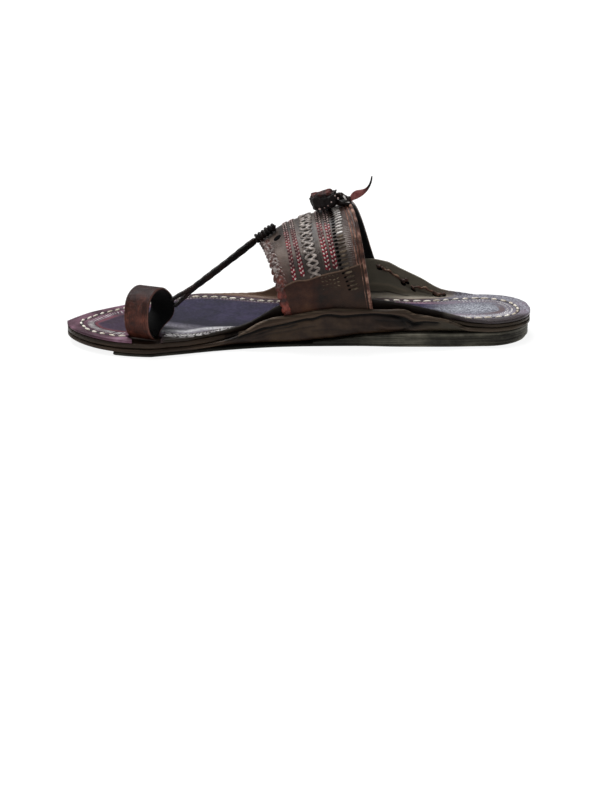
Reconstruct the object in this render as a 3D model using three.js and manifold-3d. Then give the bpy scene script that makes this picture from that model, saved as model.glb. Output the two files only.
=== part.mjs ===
import * as THREE from 'three';
import { mergeVertices } from 'three/addons/utils/BufferGeometryUtils.js';
import Module from 'manifold-3d';

// A right-foot leather sandal of stacked sole layers, an instep band held between
// folded-up sole edges, and a big-toe loop tied to the band by a thong.
// Millimetres. +X towards the toe, +Y towards the inner side of the foot, +Z up.

const LENGTH = 280;
const TIP_X = LENGTH / 2;
const CLEARANCE = 0.3;
const degrees = Math.PI / 180;

// Leather thicknesses of the sole layers, from the ground up.
const TREAD = { thickness: 1.8, frontX: 106, inset: 0.6, heelDepth: 27.8 };
const LIFT = { frontX: -8, rearX: -72, breastX: 10, rise: 6.6, inset: 0.5, heelDepth: 29 };
const OUTSOLE = { thickness: 2.5, bendRadius: 6 };
const MIDSOLE = { forefoot: 2.9, heel: 2.0, inset: 0.8, slotFront: 11.5, slotRear: -58 };
const INSOLE = { thickness: 2.0, bendRadius: 5, inset: 0.3 };
const TOE_SPRING = { fromX: 100, rise: 1.6 };
const EAR_ANGLE = 75 * degrees;

// Plan of the sole between the heel arc and the toe arcs: distance of each edge from the axis.
const PLAN = [
  { x: -110, inner: 30.0, outer: -30.0 },
  { x: -85, inner: 31.5, outer: -31.0 },
  { x: -60, inner: 31.6, outer: -33.0 },
  { x: -35, inner: 30.4, outer: -37.0 },
  { x: -10, inner: 31.0, outer: -42.0 },
  { x: 10, inner: 32.5, outer: -46.0 },
  { x: 30, inner: 36.0, outer: -49.8 },
  { x: 50, inner: 41.3, outer: -52.2 },
  { x: 70, inner: 48.0, outer: -52.2 },
  { x: 86, inner: 53.0, outer: -52.2 },
];
const HEEL = { x: -110, halfBreadth: 30, depth: 30, power: { inner: 2, outer: 2.6 } };
// Each side of the toe is a quarter of a superellipse about the toe's tip.
const TOE = {
  tipY: 14,
  inner: { depth: 54, breadth: 39, power: 1.85 },
  outer: { depth: 80, breadth: 66.2, power: 1.35 },
};

// Height of the folded-up edges of the insole and of the outsole, above each one's own underside.
const EARS = [
  { x: 64, insoleInner: 0, outsoleInner: 0, insoleOuter: 0, outsoleOuter: 0 },
  { x: 54, insoleInner: 1.1, outsoleInner: 1.2, insoleOuter: 0.6, outsoleOuter: 0.5 },
  { x: 46, insoleInner: 2.4, outsoleInner: 2.8, insoleOuter: 1.05, outsoleOuter: 0.8 },
  { x: 38, insoleInner: 4.0, outsoleInner: 5.3, insoleOuter: 1.95, outsoleOuter: 1.55 },
  { x: 30, insoleInner: 6.6, outsoleInner: 10.3, insoleOuter: 3.5, outsoleOuter: 2.95 },
  { x: 22, insoleInner: 11.0, outsoleInner: 14.5, insoleOuter: 5.9, outsoleOuter: 5.1 },
  { x: 14, insoleInner: 15.9, outsoleInner: 17.0, insoleOuter: 10.0, outsoleOuter: 8.8 },
  { x: 6, insoleInner: 19.6, outsoleInner: 17.8, insoleOuter: 14.6, outsoleOuter: 12.5 },
  { x: -6, insoleInner: 21.5, outsoleInner: 19.3, insoleOuter: 19.8, outsoleOuter: 16.1 },
  { x: -18, insoleInner: 20.8, outsoleInner: 20.0, insoleOuter: 23.3, outsoleOuter: 18.0 },
  { x: -30, insoleInner: 18.8, outsoleInner: 18.3, insoleOuter: 25.2, outsoleOuter: 18.8 },
  { x: -42, insoleInner: 16.6, outsoleInner: 16.6, insoleOuter: 24.8, outsoleOuter: 17.6 },
  { x: -54, insoleInner: 13.9, outsoleInner: 15.5, insoleOuter: 22.5, outsoleOuter: 15.7 },
  { x: -62, insoleInner: 11.9, outsoleInner: 14.6, insoleOuter: 18.5, outsoleOuter: 13.0 },
  { x: -68, insoleInner: 10.4, outsoleInner: 11.6, insoleOuter: 15.7, outsoleOuter: 11.1 },
  { x: -76, insoleInner: 8.4, outsoleInner: 10.2, insoleOuter: 12.1, outsoleOuter: 8.4 },
  { x: -84, insoleInner: 6.4, outsoleInner: 8.6, insoleOuter: 7.7, outsoleOuter: 5.5 },
  { x: -92, insoleInner: 4.2, outsoleInner: 5.4, insoleOuter: 4.6, outsoleOuter: 3.3 },
  { x: -100, insoleInner: 2.0, outsoleInner: 1.6, insoleOuter: 2.8, outsoleOuter: 1.9 },
  { x: -112, insoleInner: 0, outsoleInner: 0, insoleOuter: 0, outsoleOuter: 0 },
];

// Instep band: the crown of its outer face, front to rear, and how far each section trails
// backwards on its way down to the inner and to the outer side.
const BAND = {
  wall: 2.2, tuck: 8.5, springing: 2, rimFraction: 0.78, fullness: 0.6, innerLag: 1.0, outerLag: 1.4,
};
const BAND_CROWN = [
  { v: 0.0, x: 24.2, z: 55.8, inner: 18.5, outer: 26.0 },
  { v: 0.16, x: 17.5, z: 60.5, inner: 17.8, outer: 25.5 },
  { v: 0.33, x: 9.5, z: 65.5, inner: 17.0, outer: 25.0 },
  { v: 0.5, x: 0.5, z: 69.2, inner: 16.2, outer: 24.5 },
  { v: 0.72, x: -13.5, z: 73.9, inner: 15.2, outer: 24.0 },
  { v: 1.0, x: -30.5, z: 79.0, inner: 14.0, outer: 23.5 },
];

// Big-toe loop: its strap seen along the toe, a nearly closed ring whose two ends go down
// through a notch in the insole. Across is measured outwards from the ring's inner side.
const LOOP = { x: 95, y: 50.5, turn: 23 * degrees, width: 15.5, wall: 2.0 };
const LOOP_PROFILE = [
  { across: -8.6, z: 8.3 },
  { across: -6.0, z: 10.1 },
  { across: -3.5, z: 12.9 },
  { across: -1.8, z: 16.8 },
  { across: -1.2, z: 21.5 },
  { across: -1.7, z: 26.5 },
  { across: -3.6, z: 32.0 },
  { across: -7.9, z: 35.9 },
  { across: -15.0, z: 37.8 },
  { across: -22.5, z: 36.6 },
  { across: -29.2, z: 32.4 },
  { across: -33.6, z: 27.6 },
  { across: -35.1, z: 22.6 },
  { across: -33.6, z: 17.6 },
  { across: -29.0, z: 15.0 },
  { across: -22.0, z: 13.4 },
  { across: -16.6, z: 11.3 },
  { across: -14.2, z: 8.5 },
];
const NOTCH = [
  { x: 97.3, y: 60.0 }, { x: 97.0, y: 49.8 }, { x: 101.4, y: 43.4 }, { x: 96.8, y: 31.6 },
  { x: 80.6, y: 38.5 }, { x: 80.0, y: 48.4 }, { x: 81.4, y: 60.0 },
];

// Thong from the loop to the band, and its binding on the band's front edge.
const THONG = {
  width: 4.4, depth: 3.0, sag: 0.4, forkLength: 15, forkSpread: 2.0, strandWidth: 1.9,
  end: new THREE.Vector3(28.4, -1.5, 55.6),
};
const BINDING = {
  from: new THREE.Vector3(27.2, -1.5, 57.0), to: new THREE.Vector3(14.4, -1.5, 65.9),
  radius: 2.6, ribs: 7,
};

// Ornament on the band's crown: rosette, knot and a curled tail.
const POMPOM = { x: -16.0, y: -4, radius: 8.4, height: 11.4, lift: 0.9, lobes: 8, tilt: 11 * degrees };
const BOW_KNOT = {
  from: new THREE.Vector3(-24.2, -4, 82.6), to: new THREE.Vector3(-30.9, -4, 82.2), radius: 3.0,
};
const BOW_TAIL = [
  { x: -32.2, z: 82.4, width: 3.0 },
  { x: -33.9, z: 83.7, width: 5.5 },
  { x: -36.4, z: 85.6, width: 4.4 },
  { x: -39.3, z: 87.8, width: 2.6 },
  { x: -41.0, z: 90.0, width: 1.5 },
  { x: -42.0, z: 92.7, width: 1.3 },
  { x: -42.4, z: 95.5, width: 1.1 },
];
const BOW_TAIL_THICKNESS = 1.2;

const wasm = await Module();
wasm.setup();

const clamp = (value, low, high) => Math.min(high, Math.max(low, value));
const smoothstep = (value) => {
  const t = clamp(value, 0, 1);
  return t * t * (3 - 2 * t);
};

// Smooth reading of one column of a table against another, without overshoot.
function along(table, key, column, at) {
  const rows = table[0][key] > table[table.length - 1][key] ? [...table].reverse() : table;
  const last = rows.length - 1;
  const x = clamp(at, rows[0][key], rows[last][key]);
  let i = 0;
  while (i < last - 1 && x > rows[i + 1][key]) i += 1;
  const step = (k) => rows[k + 1][key] - rows[k][key];
  const slope = (k) => (rows[k + 1][column] - rows[k][column]) / step(k);
  const tangent = (k) => {
    if (k === 0 || k === last) return k === 0 ? slope(0) : slope(last - 1);
    const before = slope(k - 1);
    const after = slope(k);
    return before * after <= 0 ? 0 : (2 * before * after) / (before + after);
  };
  const h = step(i);
  const t = (x - rows[i][key]) / h;
  const a = rows[i][column];
  const b = rows[i + 1][column];
  const rise = t * t * (3 - 2 * t);
  return a * (1 - rise) + b * rise
    + h * (t * (1 - t) * (1 - t) * tangent(i) - t * t * (1 - t) * tangent(i + 1));
}

// Edge of the sole at x on one side, 'inner' or 'outer', for a layer trimmed by inset.
function edge(x, side, inset = 0, heelDepth = HEEL.depth) {
  const sign = side === 'inner' ? 1 : -1;
  const toe = TOE[side];
  if (x > TIP_X - toe.depth) {
    const u = clamp(1 - (TIP_X - x) / toe.depth, 0, 1);
    const reach = Math.pow(1 - Math.pow(u, toe.power), 1 / toe.power);
    return TOE.tipY + sign * Math.max(reach * toe.breadth - inset, 0.8);
  }
  if (x < HEEL.x) {
    const u = clamp((HEEL.x - x) / heelDepth, 0, 1);
    const power = HEEL.power[side];
    const reach = Math.pow(1 - Math.pow(u, power), 1 / power);
    return sign * Math.max((HEEL.halfBreadth - inset) * reach, 0.8);
  }
  return along(PLAN, 'x', side, x) - sign * inset;
}

const spring = (x) => {
  const t = Math.max(0, (x - TOE_SPRING.fromX) / (TIP_X - TOE_SPRING.fromX));
  return TOE_SPRING.rise * t * t;
};
const heelRise = (x) => LIFT.rise * smoothstep((LIFT.breastX - x) / (LIFT.breastX - LIFT.rearX));
const midThickness = (x) => {
  const heelward = smoothstep((LIFT.breastX - x) / (LIFT.breastX - LIFT.rearX));
  return MIDSOLE.forefoot + (MIDSOLE.heel - MIDSOLE.forefoot) * heelward;
};
const outsoleUnder = (x) => TREAD.thickness + CLEARANCE + heelRise(x) + spring(x);
const midUnder = (x) => outsoleUnder(x) + OUTSOLE.thickness + CLEARANCE;
const insoleUnder = (x) => midUnder(x) + midThickness(x) + CLEARANCE;

const named = (prefix, side) => prefix + (side === 'inner' ? 'Inner' : 'Outer');
const earHeight = (prefix, x, side) => Math.max(0, along(EARS, 'x', named(prefix, side), x));

// Angle of the folded-up edge: it grows with the lower of the two ears, up to its full lean.
function foldAngle(x, side) {
  const lower = Math.min(earHeight('insole', x, side), earHeight('outsole', x, side));
  return Math.min(EAR_ANGLE, Math.acos(clamp(1 - lower / OUTSOLE.bendRadius, -1, 1)));
}

// One half of a layer's section at x. The underside runs flat to flatEnd, bends up round
// bendRadius to angle, and goes on straight until it has climbed to height.
function fold(x, side, layer) {
  const sign = side === 'inner' ? 1 : -1;
  const angle = foldAngle(x, side);
  const inset = layer === 'insole' ? INSOLE.inset : 0;
  const signedRim = edge(x, side, inset) * sign;
  const outsoleFlat = signedRim - OUTSOLE.bendRadius * Math.sin(angle);
  if (layer === 'outsole') {
    return bent(outsoleFlat, outsoleUnder(x), OUTSOLE.bendRadius, angle,
      earHeight('outsole', x, side), OUTSOLE.thickness);
  }
  const apart = insoleUnder(x) - outsoleUnder(x);
  const tighter = (OUTSOLE.bendRadius - INSOLE.bendRadius) * Math.cos(angle);
  const insoleRim = signedRim - Math.tan(angle / 2) * (apart + tighter);
  const insoleFlat = insoleRim - INSOLE.bendRadius * Math.sin(angle);
  if (layer === 'insole') {
    return bent(insoleFlat, insoleUnder(x), INSOLE.bendRadius, angle,
      earHeight('insole', x, side), INSOLE.thickness);
  }
  const lower = Math.min(earHeight('insole', x, side), earHeight('outsole', x, side));
  const height = 0.88 * lower;
  const radius = INSOLE.bendRadius + CLEARANCE + midThickness(x);
  return bent(insoleFlat, midUnder(x), radius, angle, height, midThickness(x), MIDSOLE.inset);
}

function bent(flatEnd, under, bendRadius, fullAngle, height, thickness, trim = 0) {
  const bendHeight = bendRadius * (1 - Math.cos(fullAngle));
  const angle = height < bendHeight ? Math.acos(1 - height / bendRadius) : fullAngle;
  const straight = height > bendHeight ? (height - bendHeight) / Math.sin(fullAngle) : 0;
  return { flatEnd, under, bendRadius, angle, straight, thickness, trim };
}

// Point of a half section at distance s along its underside, raised by lift through the leather.
function foldPoint(half, s, lift) {
  const bend = half.bendRadius * half.angle;
  if (s <= half.flatEnd) return { y: s, z: half.under + lift };
  const turn = Math.min(s - half.flatEnd, bend) / half.bendRadius;
  const beyond = Math.max(0, s - half.flatEnd - bend);
  const radius = half.bendRadius - lift;
  return {
    y: half.flatEnd + radius * Math.sin(turn) + beyond * Math.cos(turn),
    z: half.under + half.bendRadius - radius * Math.cos(turn) + beyond * Math.sin(turn),
  };
}

// Distances along the underside where a half section has its corners.
function foldStops(half, middle) {
  const bend = half.bendRadius * half.angle;
  const end = half.flatEnd + bend + half.straight - half.trim;
  const reach = end - middle;
  const straight = Math.max(half.straight, Math.min(2.0, 0.12 * reach));
  const curve = Math.max(bend, Math.min(3.0, 0.18 * reach));
  return [0, 1 / 3, 2 / 3, 1].map((t) => end - straight - curve * (1 - t)).concat(end);
}

// Closed ring of a layer's section at x: underside from outer to inner edge, top back again.
function layerRing(x, layer) {
  const middle = (edge(x, 'inner') + edge(x, 'outer')) / 2;
  const inner = fold(x, 'inner', layer);
  const outer = fold(x, 'outer', layer);
  const row = (lift) => {
    const left = foldStops(outer, -middle).map((s) => foldPoint(outer, s, lift)).reverse();
    const right = foldStops(inner, middle).map((s) => foldPoint(inner, s, lift));
    return [
      ...left.map((p) => new THREE.Vector3(x, -p.y, p.z)),
      new THREE.Vector3(x, middle, inner.under + lift),
      ...right.map((p) => new THREE.Vector3(x, p.y, p.z)),
    ];
  };
  return [...row(0), ...row(inner.thickness).reverse()];
}

// Stations along the foot, close together round the heel and the toe.
function stations(frontX, heelDepth, spacing = 8) {
  const heel = [0.9985, 0.985, 0.94, 0.85, 0.7, 0.5, 0.25].map((t) => HEEL.x - heelDepth * t);
  const toe = [26, 19, 13, 8.5, 5, 2.5, 1, 0.25].map((d) => TIP_X - d);
  const first = HEEL.x;
  const last = Math.min(frontX, toe[0] - 5);
  const count = Math.round((last - first) / spacing);
  const straight = Array.from({ length: count + 1 }, (_, i) => first + ((last - first) * i) / count);
  return [...heel, ...straight, ...toe.filter((x) => x <= frontX)];
}

// A solid through rings of points that all have the same count, closed by its two end rings.
function loft(rings) {
  const size = rings[0].length;
  const positions = rings.flat().flatMap((p) => [p.x, p.y, p.z]);
  const index = [];
  rings.slice(1).forEach((_, r) => {
    for (let i = 0; i < size; i += 1) {
      const a = r * size + i;
      const b = r * size + ((i + 1) % size);
      index.push(a, b, a + size, b, b + size, a + size);
    }
  });
  const half = size / 2;
  const lastRing = (rings.length - 1) * size;
  for (let i = 0; i < half - 1; i += 1) {
    const j = size - 1 - i;
    index.push(i, j, i + 1, i + 1, j, j - 1);
    index.push(lastRing + i, lastRing + i + 1, lastRing + j);
    index.push(lastRing + i + 1, lastRing + j - 1, lastRing + j);
  }
  const geometry = new THREE.BufferGeometry();
  geometry.setAttribute('position', new THREE.Float32BufferAttribute(positions, 3));
  geometry.setIndex(index);
  return outward(geometry);
}

// Turns the faces round if the solid came out inside out.
function outward(geometry) {
  const p = geometry.getAttribute('position');
  const index = geometry.getIndex();
  const [a, b, c] = [new THREE.Vector3(), new THREE.Vector3(), new THREE.Vector3()];
  let volume = 0;
  for (let i = 0; i < index.count; i += 3) {
    a.fromBufferAttribute(p, index.getX(i));
    b.fromBufferAttribute(p, index.getX(i + 1));
    c.fromBufferAttribute(p, index.getX(i + 2));
    volume += a.dot(b.cross(c));
  }
  if (volume < 0) {
    for (let i = 0; i < index.count; i += 3) {
      const keep = index.getX(i);
      index.setX(i, index.getX(i + 1));
      index.setX(i + 1, keep);
    }
  }
  return geometry;
}

function toSolid(geometry) {
  const bare = geometry.clone();
  bare.deleteAttribute('normal');
  bare.deleteAttribute('uv');
  const merged = mergeVertices(bare, 1e-4);
  return new wasm.Manifold(new wasm.Mesh({
    numProp: 3,
    vertProperties: new Float32Array(merged.getAttribute('position').array),
    triVerts: new Uint32Array(merged.getIndex().array),
  }));
}

function toGeometry(solid) {
  const mesh = solid.getMesh();
  const geometry = new THREE.BufferGeometry();
  geometry.setAttribute('position', new THREE.Float32BufferAttribute(mesh.vertProperties, 3));
  geometry.setIndex([...mesh.triVerts]);
  return geometry;
}

// The tread lies flat on the ground and stops short of the toe.
function tread() {
  const rings = stations(TREAD.frontX, TREAD.heelDepth).map((x) => {
    const inner = edge(x, 'inner', TREAD.inset, TREAD.heelDepth);
    const outer = edge(x, 'outer', TREAD.inset, TREAD.heelDepth);
    return [
      new THREE.Vector3(x, outer, 0),
      new THREE.Vector3(x, inner, 0),
      new THREE.Vector3(x, inner, TREAD.thickness),
      new THREE.Vector3(x, outer, TREAD.thickness),
    ];
  });
  return loft(rings);
}

// The heel lift is a wedge that starts under the arch.
function heelLift() {
  const under = TREAD.thickness + CLEARANCE;
  const rings = stations(LIFT.frontX, LIFT.heelDepth).map((x) => {
    const inner = edge(x, 'inner', LIFT.inset, LIFT.heelDepth);
    const outer = edge(x, 'outer', LIFT.inset, LIFT.heelDepth);
    const top = TREAD.thickness + heelRise(x);
    return [
      new THREE.Vector3(x, outer, under),
      new THREE.Vector3(x, inner, under),
      new THREE.Vector3(x, inner, top),
      new THREE.Vector3(x, outer, top),
    ];
  });
  return loft(rings);
}

const soleLayer = (layer) => loft(stations(TIP_X, HEEL.depth).map((x) => layerRing(x, layer)));

// The midsole folds up with its neighbours, and is cut away where the band stands in its place.
function midsole() {
  const span = [MIDSOLE.slotRear, -35, -12, MIDSOLE.slotFront];
  const slot = loft(span.map((x) => {
    const low = midUnder(x) + midThickness(x) + 0.4;
    return [
      new THREE.Vector3(x, -80, low), new THREE.Vector3(x, 80, low),
      new THREE.Vector3(x, 80, 60), new THREE.Vector3(x, -80, 60),
    ];
  }));
  return toGeometry(toSolid(soleLayer('midsole')).subtract(toSolid(slot)));
}

// Frame of the loop: along its strap's width, across towards the inner side, and up.
const loopAlong = new THREE.Vector3(Math.cos(LOOP.turn), -Math.sin(LOOP.turn), 0);
const loopAcross = new THREE.Vector3(Math.sin(LOOP.turn), Math.cos(LOOP.turn), 0);
function inLoop(geometry) {
  const frame = new THREE.Matrix4().makeBasis(loopAcross, new THREE.Vector3(0, 0, 1), loopAlong);
  frame.setPosition(LOOP.x, LOOP.y, 0);
  return outward(mergeVertices(stripped(geometry.applyMatrix4(frame)), 1e-4));
}

function stripped(geometry) {
  const bare = geometry.clone();
  bare.deleteAttribute('normal');
  bare.deleteAttribute('uv');
  return bare;
}

// The insole is notched at its inner edge, where the loop's ends go down.
function insole() {
  const outline = new THREE.Shape(NOTCH.map((corner) => new THREE.Vector2(corner.x, corner.y)));
  const notch = new THREE.ExtrudeGeometry(outline, { depth: 8, bevelEnabled: false });
  notch.translate(0, 0, insoleUnder(LOOP.x) - 2);
  const cutter = outward(mergeVertices(stripped(notch), 1e-4));
  return toGeometry(toSolid(soleLayer('insole')).subtract(toSolid(cutter)));
}

// The band's centre line between the ears, at x and height z.
function pocket(x, z, side) {
  const angle = foldAngle(x, side);
  const sign = side === 'inner' ? 1 : -1;
  const apart = insoleUnder(x) - outsoleUnder(x);
  const centre = (OUTSOLE.thickness + apart) / 2;
  const bendTop = outsoleUnder(x) + OUTSOLE.bendRadius * (1 - Math.cos(angle));
  const face = Math.abs(edge(x, side)) + (z - bendTop) / Math.tan(angle);
  return sign * (face - centre / Math.sin(angle));
}

// One section of the band: straight between the ears, then an arch over the instep.
function bandRing(v) {
  const crown = { x: along(BAND_CROWN, 'v', 'x', v), z: along(BAND_CROWN, 'v', 'z', v) };
  const peak = crown.z - BAND.wall / 2;
  const foot = (side) => {
    const trail = along(BAND_CROWN, 'v', side, v);
    const lowX = crown.x - trail;
    const low = outsoleUnder(lowX) + BAND.tuck;
    const highX = crown.x - BAND.rimFraction * trail;
    const high = insoleUnder(highX) + earHeight('insole', highX, side) + BAND.springing;
    return {
      trail,
      lag: BAND[`${side}Lag`],
      low: new THREE.Vector2(pocket(lowX, low, side), low),
      high: new THREE.Vector2(pocket(highX, high, side), high),
    };
  };
  const inner = foot('inner');
  const outer = foot('outer');
  const top = new THREE.Vector2((inner.high.x + outer.high.x) / 2, peak);
  const half = ({ low, high, trail, lag }) => {
    const lead = high.clone().sub(low).normalize().multiplyScalar(BAND.fullness * (peak - high.y));
    const level = new THREE.Vector2(top.x + BAND.fullness * (high.x - top.x), peak);
    const arch = new THREE.CubicBezierCurve(high, high.clone().add(lead), level, top);
    const points = [low, ...arch.getPoints(9)];
    const runs = points.map((p, i) => (i === 0 ? 0 : p.distanceTo(points[i - 1])));
    const total = runs.reduce((sum, run) => sum + run, 0);
    let done = 0;
    return points.map((p, i) => {
      done += runs[i];
      return { y: p.x, z: p.y, x: crown.x - trail * Math.pow(1 - done / total, lag) };
    });
  };
  const line = [...half(inner), ...half(outer).slice(0, -1).reverse()];
  const offset = (amount) => line.map((p, i) => {
    const before = line[Math.max(0, i - 1)];
    const after = line[Math.min(line.length - 1, i + 1)];
    const run = new THREE.Vector2(after.y - before.y, after.z - before.z).normalize();
    return new THREE.Vector3(p.x, p.y + run.y * amount, p.z - run.x * amount);
  });
  return [...offset(BAND.wall / 2), ...offset(-BAND.wall / 2).reverse()];
}

const band = () => loft([0, 1 / 6, 1 / 3, 1 / 2, 2 / 3, 5 / 6, 1].map(bandRing));

// The loop is one strap bent round the toe, both ends down through the insole.
function toeLoop() {
  const line = new THREE.SplineCurve(LOOP_PROFILE.map((p) => new THREE.Vector2(p.across, p.z)));
  const points = line.getPoints(30);
  const offset = points.map((p, i) => {
    const before = points[Math.max(0, i - 1)];
    const after = points[Math.min(points.length - 1, i + 1)];
    const run = after.clone().sub(before).normalize();
    return new THREE.Vector2(p.x - run.y * LOOP.wall, p.y + run.x * LOOP.wall);
  });
  const strap = new THREE.Shape([...points, ...offset.reverse()]);
  const solid = new THREE.ExtrudeGeometry(strap, { depth: LOOP.width, bevelEnabled: false });
  solid.translate(0, 0, -LOOP.width / 2);
  return inLoop(solid);
}

// A strap of oval section swept along a line of stops, each with its own width and depth.
function sweep(stops, sides = 10) {
  const up = new THREE.Vector3(0, 0, 1);
  const rings = stops.map((stop, i) => {
    const before = stops[Math.max(0, i - 1)].at;
    const after = stops[Math.min(stops.length - 1, i + 1)].at;
    const run = after.clone().sub(before).normalize();
    const level = new THREE.Vector3().crossVectors(up, run).normalize();
    const normal = new THREE.Vector3().crossVectors(run, level);
    return Array.from({ length: sides }, (_, k) => {
      const turn = ((k + 0.5) / sides) * 2 * Math.PI;
      return stop.at.clone()
        .addScaledVector(level, (stop.width / 2) * Math.cos(turn))
        .addScaledVector(normal, (stop.depth / 2) * Math.sin(turn));
    });
  });
  return loft(rings);
}

// Place on the loop's strap, from its profile, at a fraction of its width towards the rear.
function onLoop(across, z, rearward) {
  return new THREE.Vector3(LOOP.x, LOOP.y, z)
    .addScaledVector(loopAcross, across)
    .addScaledVector(loopAlong, (-LOOP.width / 2) * rearward);
}

// The thong leaves the loop's rear rim as two strands and joins into one up to the band.
function toeThong() {
  const start = onLoop(-33.6, 24.3, 1.0).add(new THREE.Vector3(-2.2, 0.4, 0));
  const run = THONG.end.clone().sub(start);
  const fork = THONG.forkLength / run.length();
  const at = (t, lift) => start.clone().addScaledVector(run, t)
    .add(new THREE.Vector3(0, 0, lift - THONG.sag * Math.sin(Math.PI * t)));
  const body = sweep([fork * 0.8, 0.35, 0.5, 0.65, 0.8, 0.92, 1].map((t) => ({
    at: at(t, 0), width: THONG.depth, depth: THONG.width,
  })));
  const strand = (spread) => sweep([0, fork * 0.5, fork * 1.15].map((t, i) => ({
    at: at(t, spread * (1 - i * 0.42)), width: THONG.depth * 0.85, depth: THONG.strandWidth,
  })), 8);
  const strands = [THONG.forkSpread, -THONG.forkSpread].map((spread) => toSolid(strand(spread)));
  return toGeometry(toSolid(body).add(strands[0]).add(strands[1]));
}

// Solid turned about a line, with a radius for each fraction of its length and each turn.
function turned(from, to, stops, sides, radiusAt) {
  const run = to.clone().sub(from);
  const level = new THREE.Vector3(0, 1, 0);
  const normal = new THREE.Vector3().crossVectors(run.clone().normalize(), level);
  return loft(stops.map((t) => Array.from({ length: sides }, (_, k) => {
    const turn = ((k + 0.5) / sides) * 2 * Math.PI;
    const radius = radiusAt(t, turn);
    return from.clone().addScaledVector(run, t)
      .addScaledVector(level, radius * Math.cos(turn))
      .addScaledVector(normal, radius * Math.sin(turn));
  })));
}

// The binding is a ribbed wrap that swells in its middle.
function thongBinding() {
  const count = BINDING.ribs * 2;
  const stops = Array.from({ length: count + 1 }, (_, i) => i / count);
  return turned(BINDING.from, BINDING.to, stops, 12, (t) => {
    const swell = 0.66 + 0.34 * Math.sin(Math.PI * clamp(t, 0.05, 0.95));
    const rib = Math.round(t * count) % 2 === 1 ? 1 : 0.84;
    return BINDING.radius * swell * rib;
  });
}

// The pompom is a squat gathered rosette that stands on the crown.
function pompom() {
  const tilt = new THREE.Vector3(Math.sin(POMPOM.tilt), 0, Math.cos(POMPOM.tilt));
  const crown = along(BAND_CROWN, 'x', 'z', POMPOM.x);
  const foot = new THREE.Vector3(POMPOM.x, POMPOM.y, crown).addScaledVector(tilt, POMPOM.lift);
  const profile = [
    { t: 0.0, r: 0.7 }, { t: 0.14, r: 0.84 }, { t: 0.4, r: 0.98 },
    { t: 0.68, r: 1.0 }, { t: 0.88, r: 0.86 }, { t: 1.0, r: 0.5 },
  ];
  const head = foot.clone().addScaledVector(tilt, POMPOM.height);
  return turned(foot, head, profile.map((p) => p.t), 32, (t, turn) => (
    POMPOM.radius * along(profile, 't', 'r', t) * (1 + 0.06 * t * Math.cos(POMPOM.lobes * turn))
  ));
}

// The bow's knot lies behind the pompom, and its tail curls up behind the knot.
function bowKnot() {
  return turned(BOW_KNOT.from, BOW_KNOT.to, [0, 0.2, 0.45, 0.7, 1], 12, (t) => (
    BOW_KNOT.radius * (0.55 + 0.45 * Math.sin(Math.PI * (0.1 + 0.8 * t)))
  ));
}

function bowTail() {
  return sweep(BOW_TAIL.map((row) => ({
    at: new THREE.Vector3(row.x, BOW_KNOT.from.y, row.z), width: BOW_TAIL_THICKNESS, depth: row.width,
  })), 8);
}

const PIECES = [
  { name: 'tread', make: tread, colour: 0x2e2a26, roughness: 0.85 },
  { name: 'heel_lift', make: heelLift, colour: 0x35302a, roughness: 0.8 },
  { name: 'outsole', make: () => soleLayer('outsole'), colour: 0x3a2a24, roughness: 0.55 },
  { name: 'midsole', make: midsole, colour: 0x3f322c, roughness: 0.7 },
  { name: 'insole', make: insole, colour: 0x4a3a4a, roughness: 0.4 },
  { name: 'instep_band', make: band, colour: 0x4a332a, roughness: 0.45 },
  { name: 'toe_loop', make: toeLoop, colour: 0x553528, roughness: 0.5 },
  { name: 'toe_thong', make: toeThong, colour: 0x1d1613, roughness: 0.6 },
  { name: 'thong_binding', make: thongBinding, colour: 0x1d1213, roughness: 0.6 },
  { name: 'pompom', make: pompom, colour: 0x3a1413, roughness: 0.6 },
  { name: 'bow_knot', make: bowKnot, colour: 0x2c1f1c, roughness: 0.6 },
  { name: 'bow_tail', make: bowTail, colour: 0x6e3230, roughness: 0.6 },
];

const sandal = new THREE.Group();
for (const piece of PIECES) {
  const material = new THREE.MeshStandardMaterial({
    color: piece.colour, roughness: piece.roughness, metalness: 0,
  });
  const mesh = new THREE.Mesh(piece.make(), material);
  mesh.name = piece.name;
  sandal.add(mesh);
}

export default sandal;
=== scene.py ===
import math
from functools import lru_cache

import bmesh
import bpy
from mathutils import Matrix, Vector, kdtree, noise


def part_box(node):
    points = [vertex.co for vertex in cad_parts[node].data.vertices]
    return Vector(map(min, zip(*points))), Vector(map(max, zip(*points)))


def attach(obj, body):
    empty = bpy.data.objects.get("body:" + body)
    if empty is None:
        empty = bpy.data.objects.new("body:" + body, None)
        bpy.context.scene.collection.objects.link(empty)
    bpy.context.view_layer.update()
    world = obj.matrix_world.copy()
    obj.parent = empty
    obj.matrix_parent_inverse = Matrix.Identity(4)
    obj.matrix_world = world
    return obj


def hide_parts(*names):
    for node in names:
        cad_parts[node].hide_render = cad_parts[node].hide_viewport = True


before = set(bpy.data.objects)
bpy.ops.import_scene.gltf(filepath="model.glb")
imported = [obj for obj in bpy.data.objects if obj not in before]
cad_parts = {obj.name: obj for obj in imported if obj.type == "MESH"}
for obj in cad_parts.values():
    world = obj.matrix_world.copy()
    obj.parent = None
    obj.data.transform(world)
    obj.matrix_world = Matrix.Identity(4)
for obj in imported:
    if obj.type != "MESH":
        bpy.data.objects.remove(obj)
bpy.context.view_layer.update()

# Camera, floor and light. The camera stands on the sandal's inner side, 15 degrees above the
# floor, with the toe at the left of a 600 x 797 picture. The floor is a matt white studio sweep
# under one high soft light from the far side and a dim surround.
scene = bpy.context.scene
camera = bpy.data.objects.new("camera", bpy.data.cameras.new("camera"))
camera.data.lens = 66.751
camera.data.sensor_width = 36
camera.location = (-0.007569, 0.867235, 0.265515)
camera.rotation_euler = (math.radians(70.38), 0, math.radians(180.5))
scene.collection.objects.link(camera)
scene.camera = camera
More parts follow.
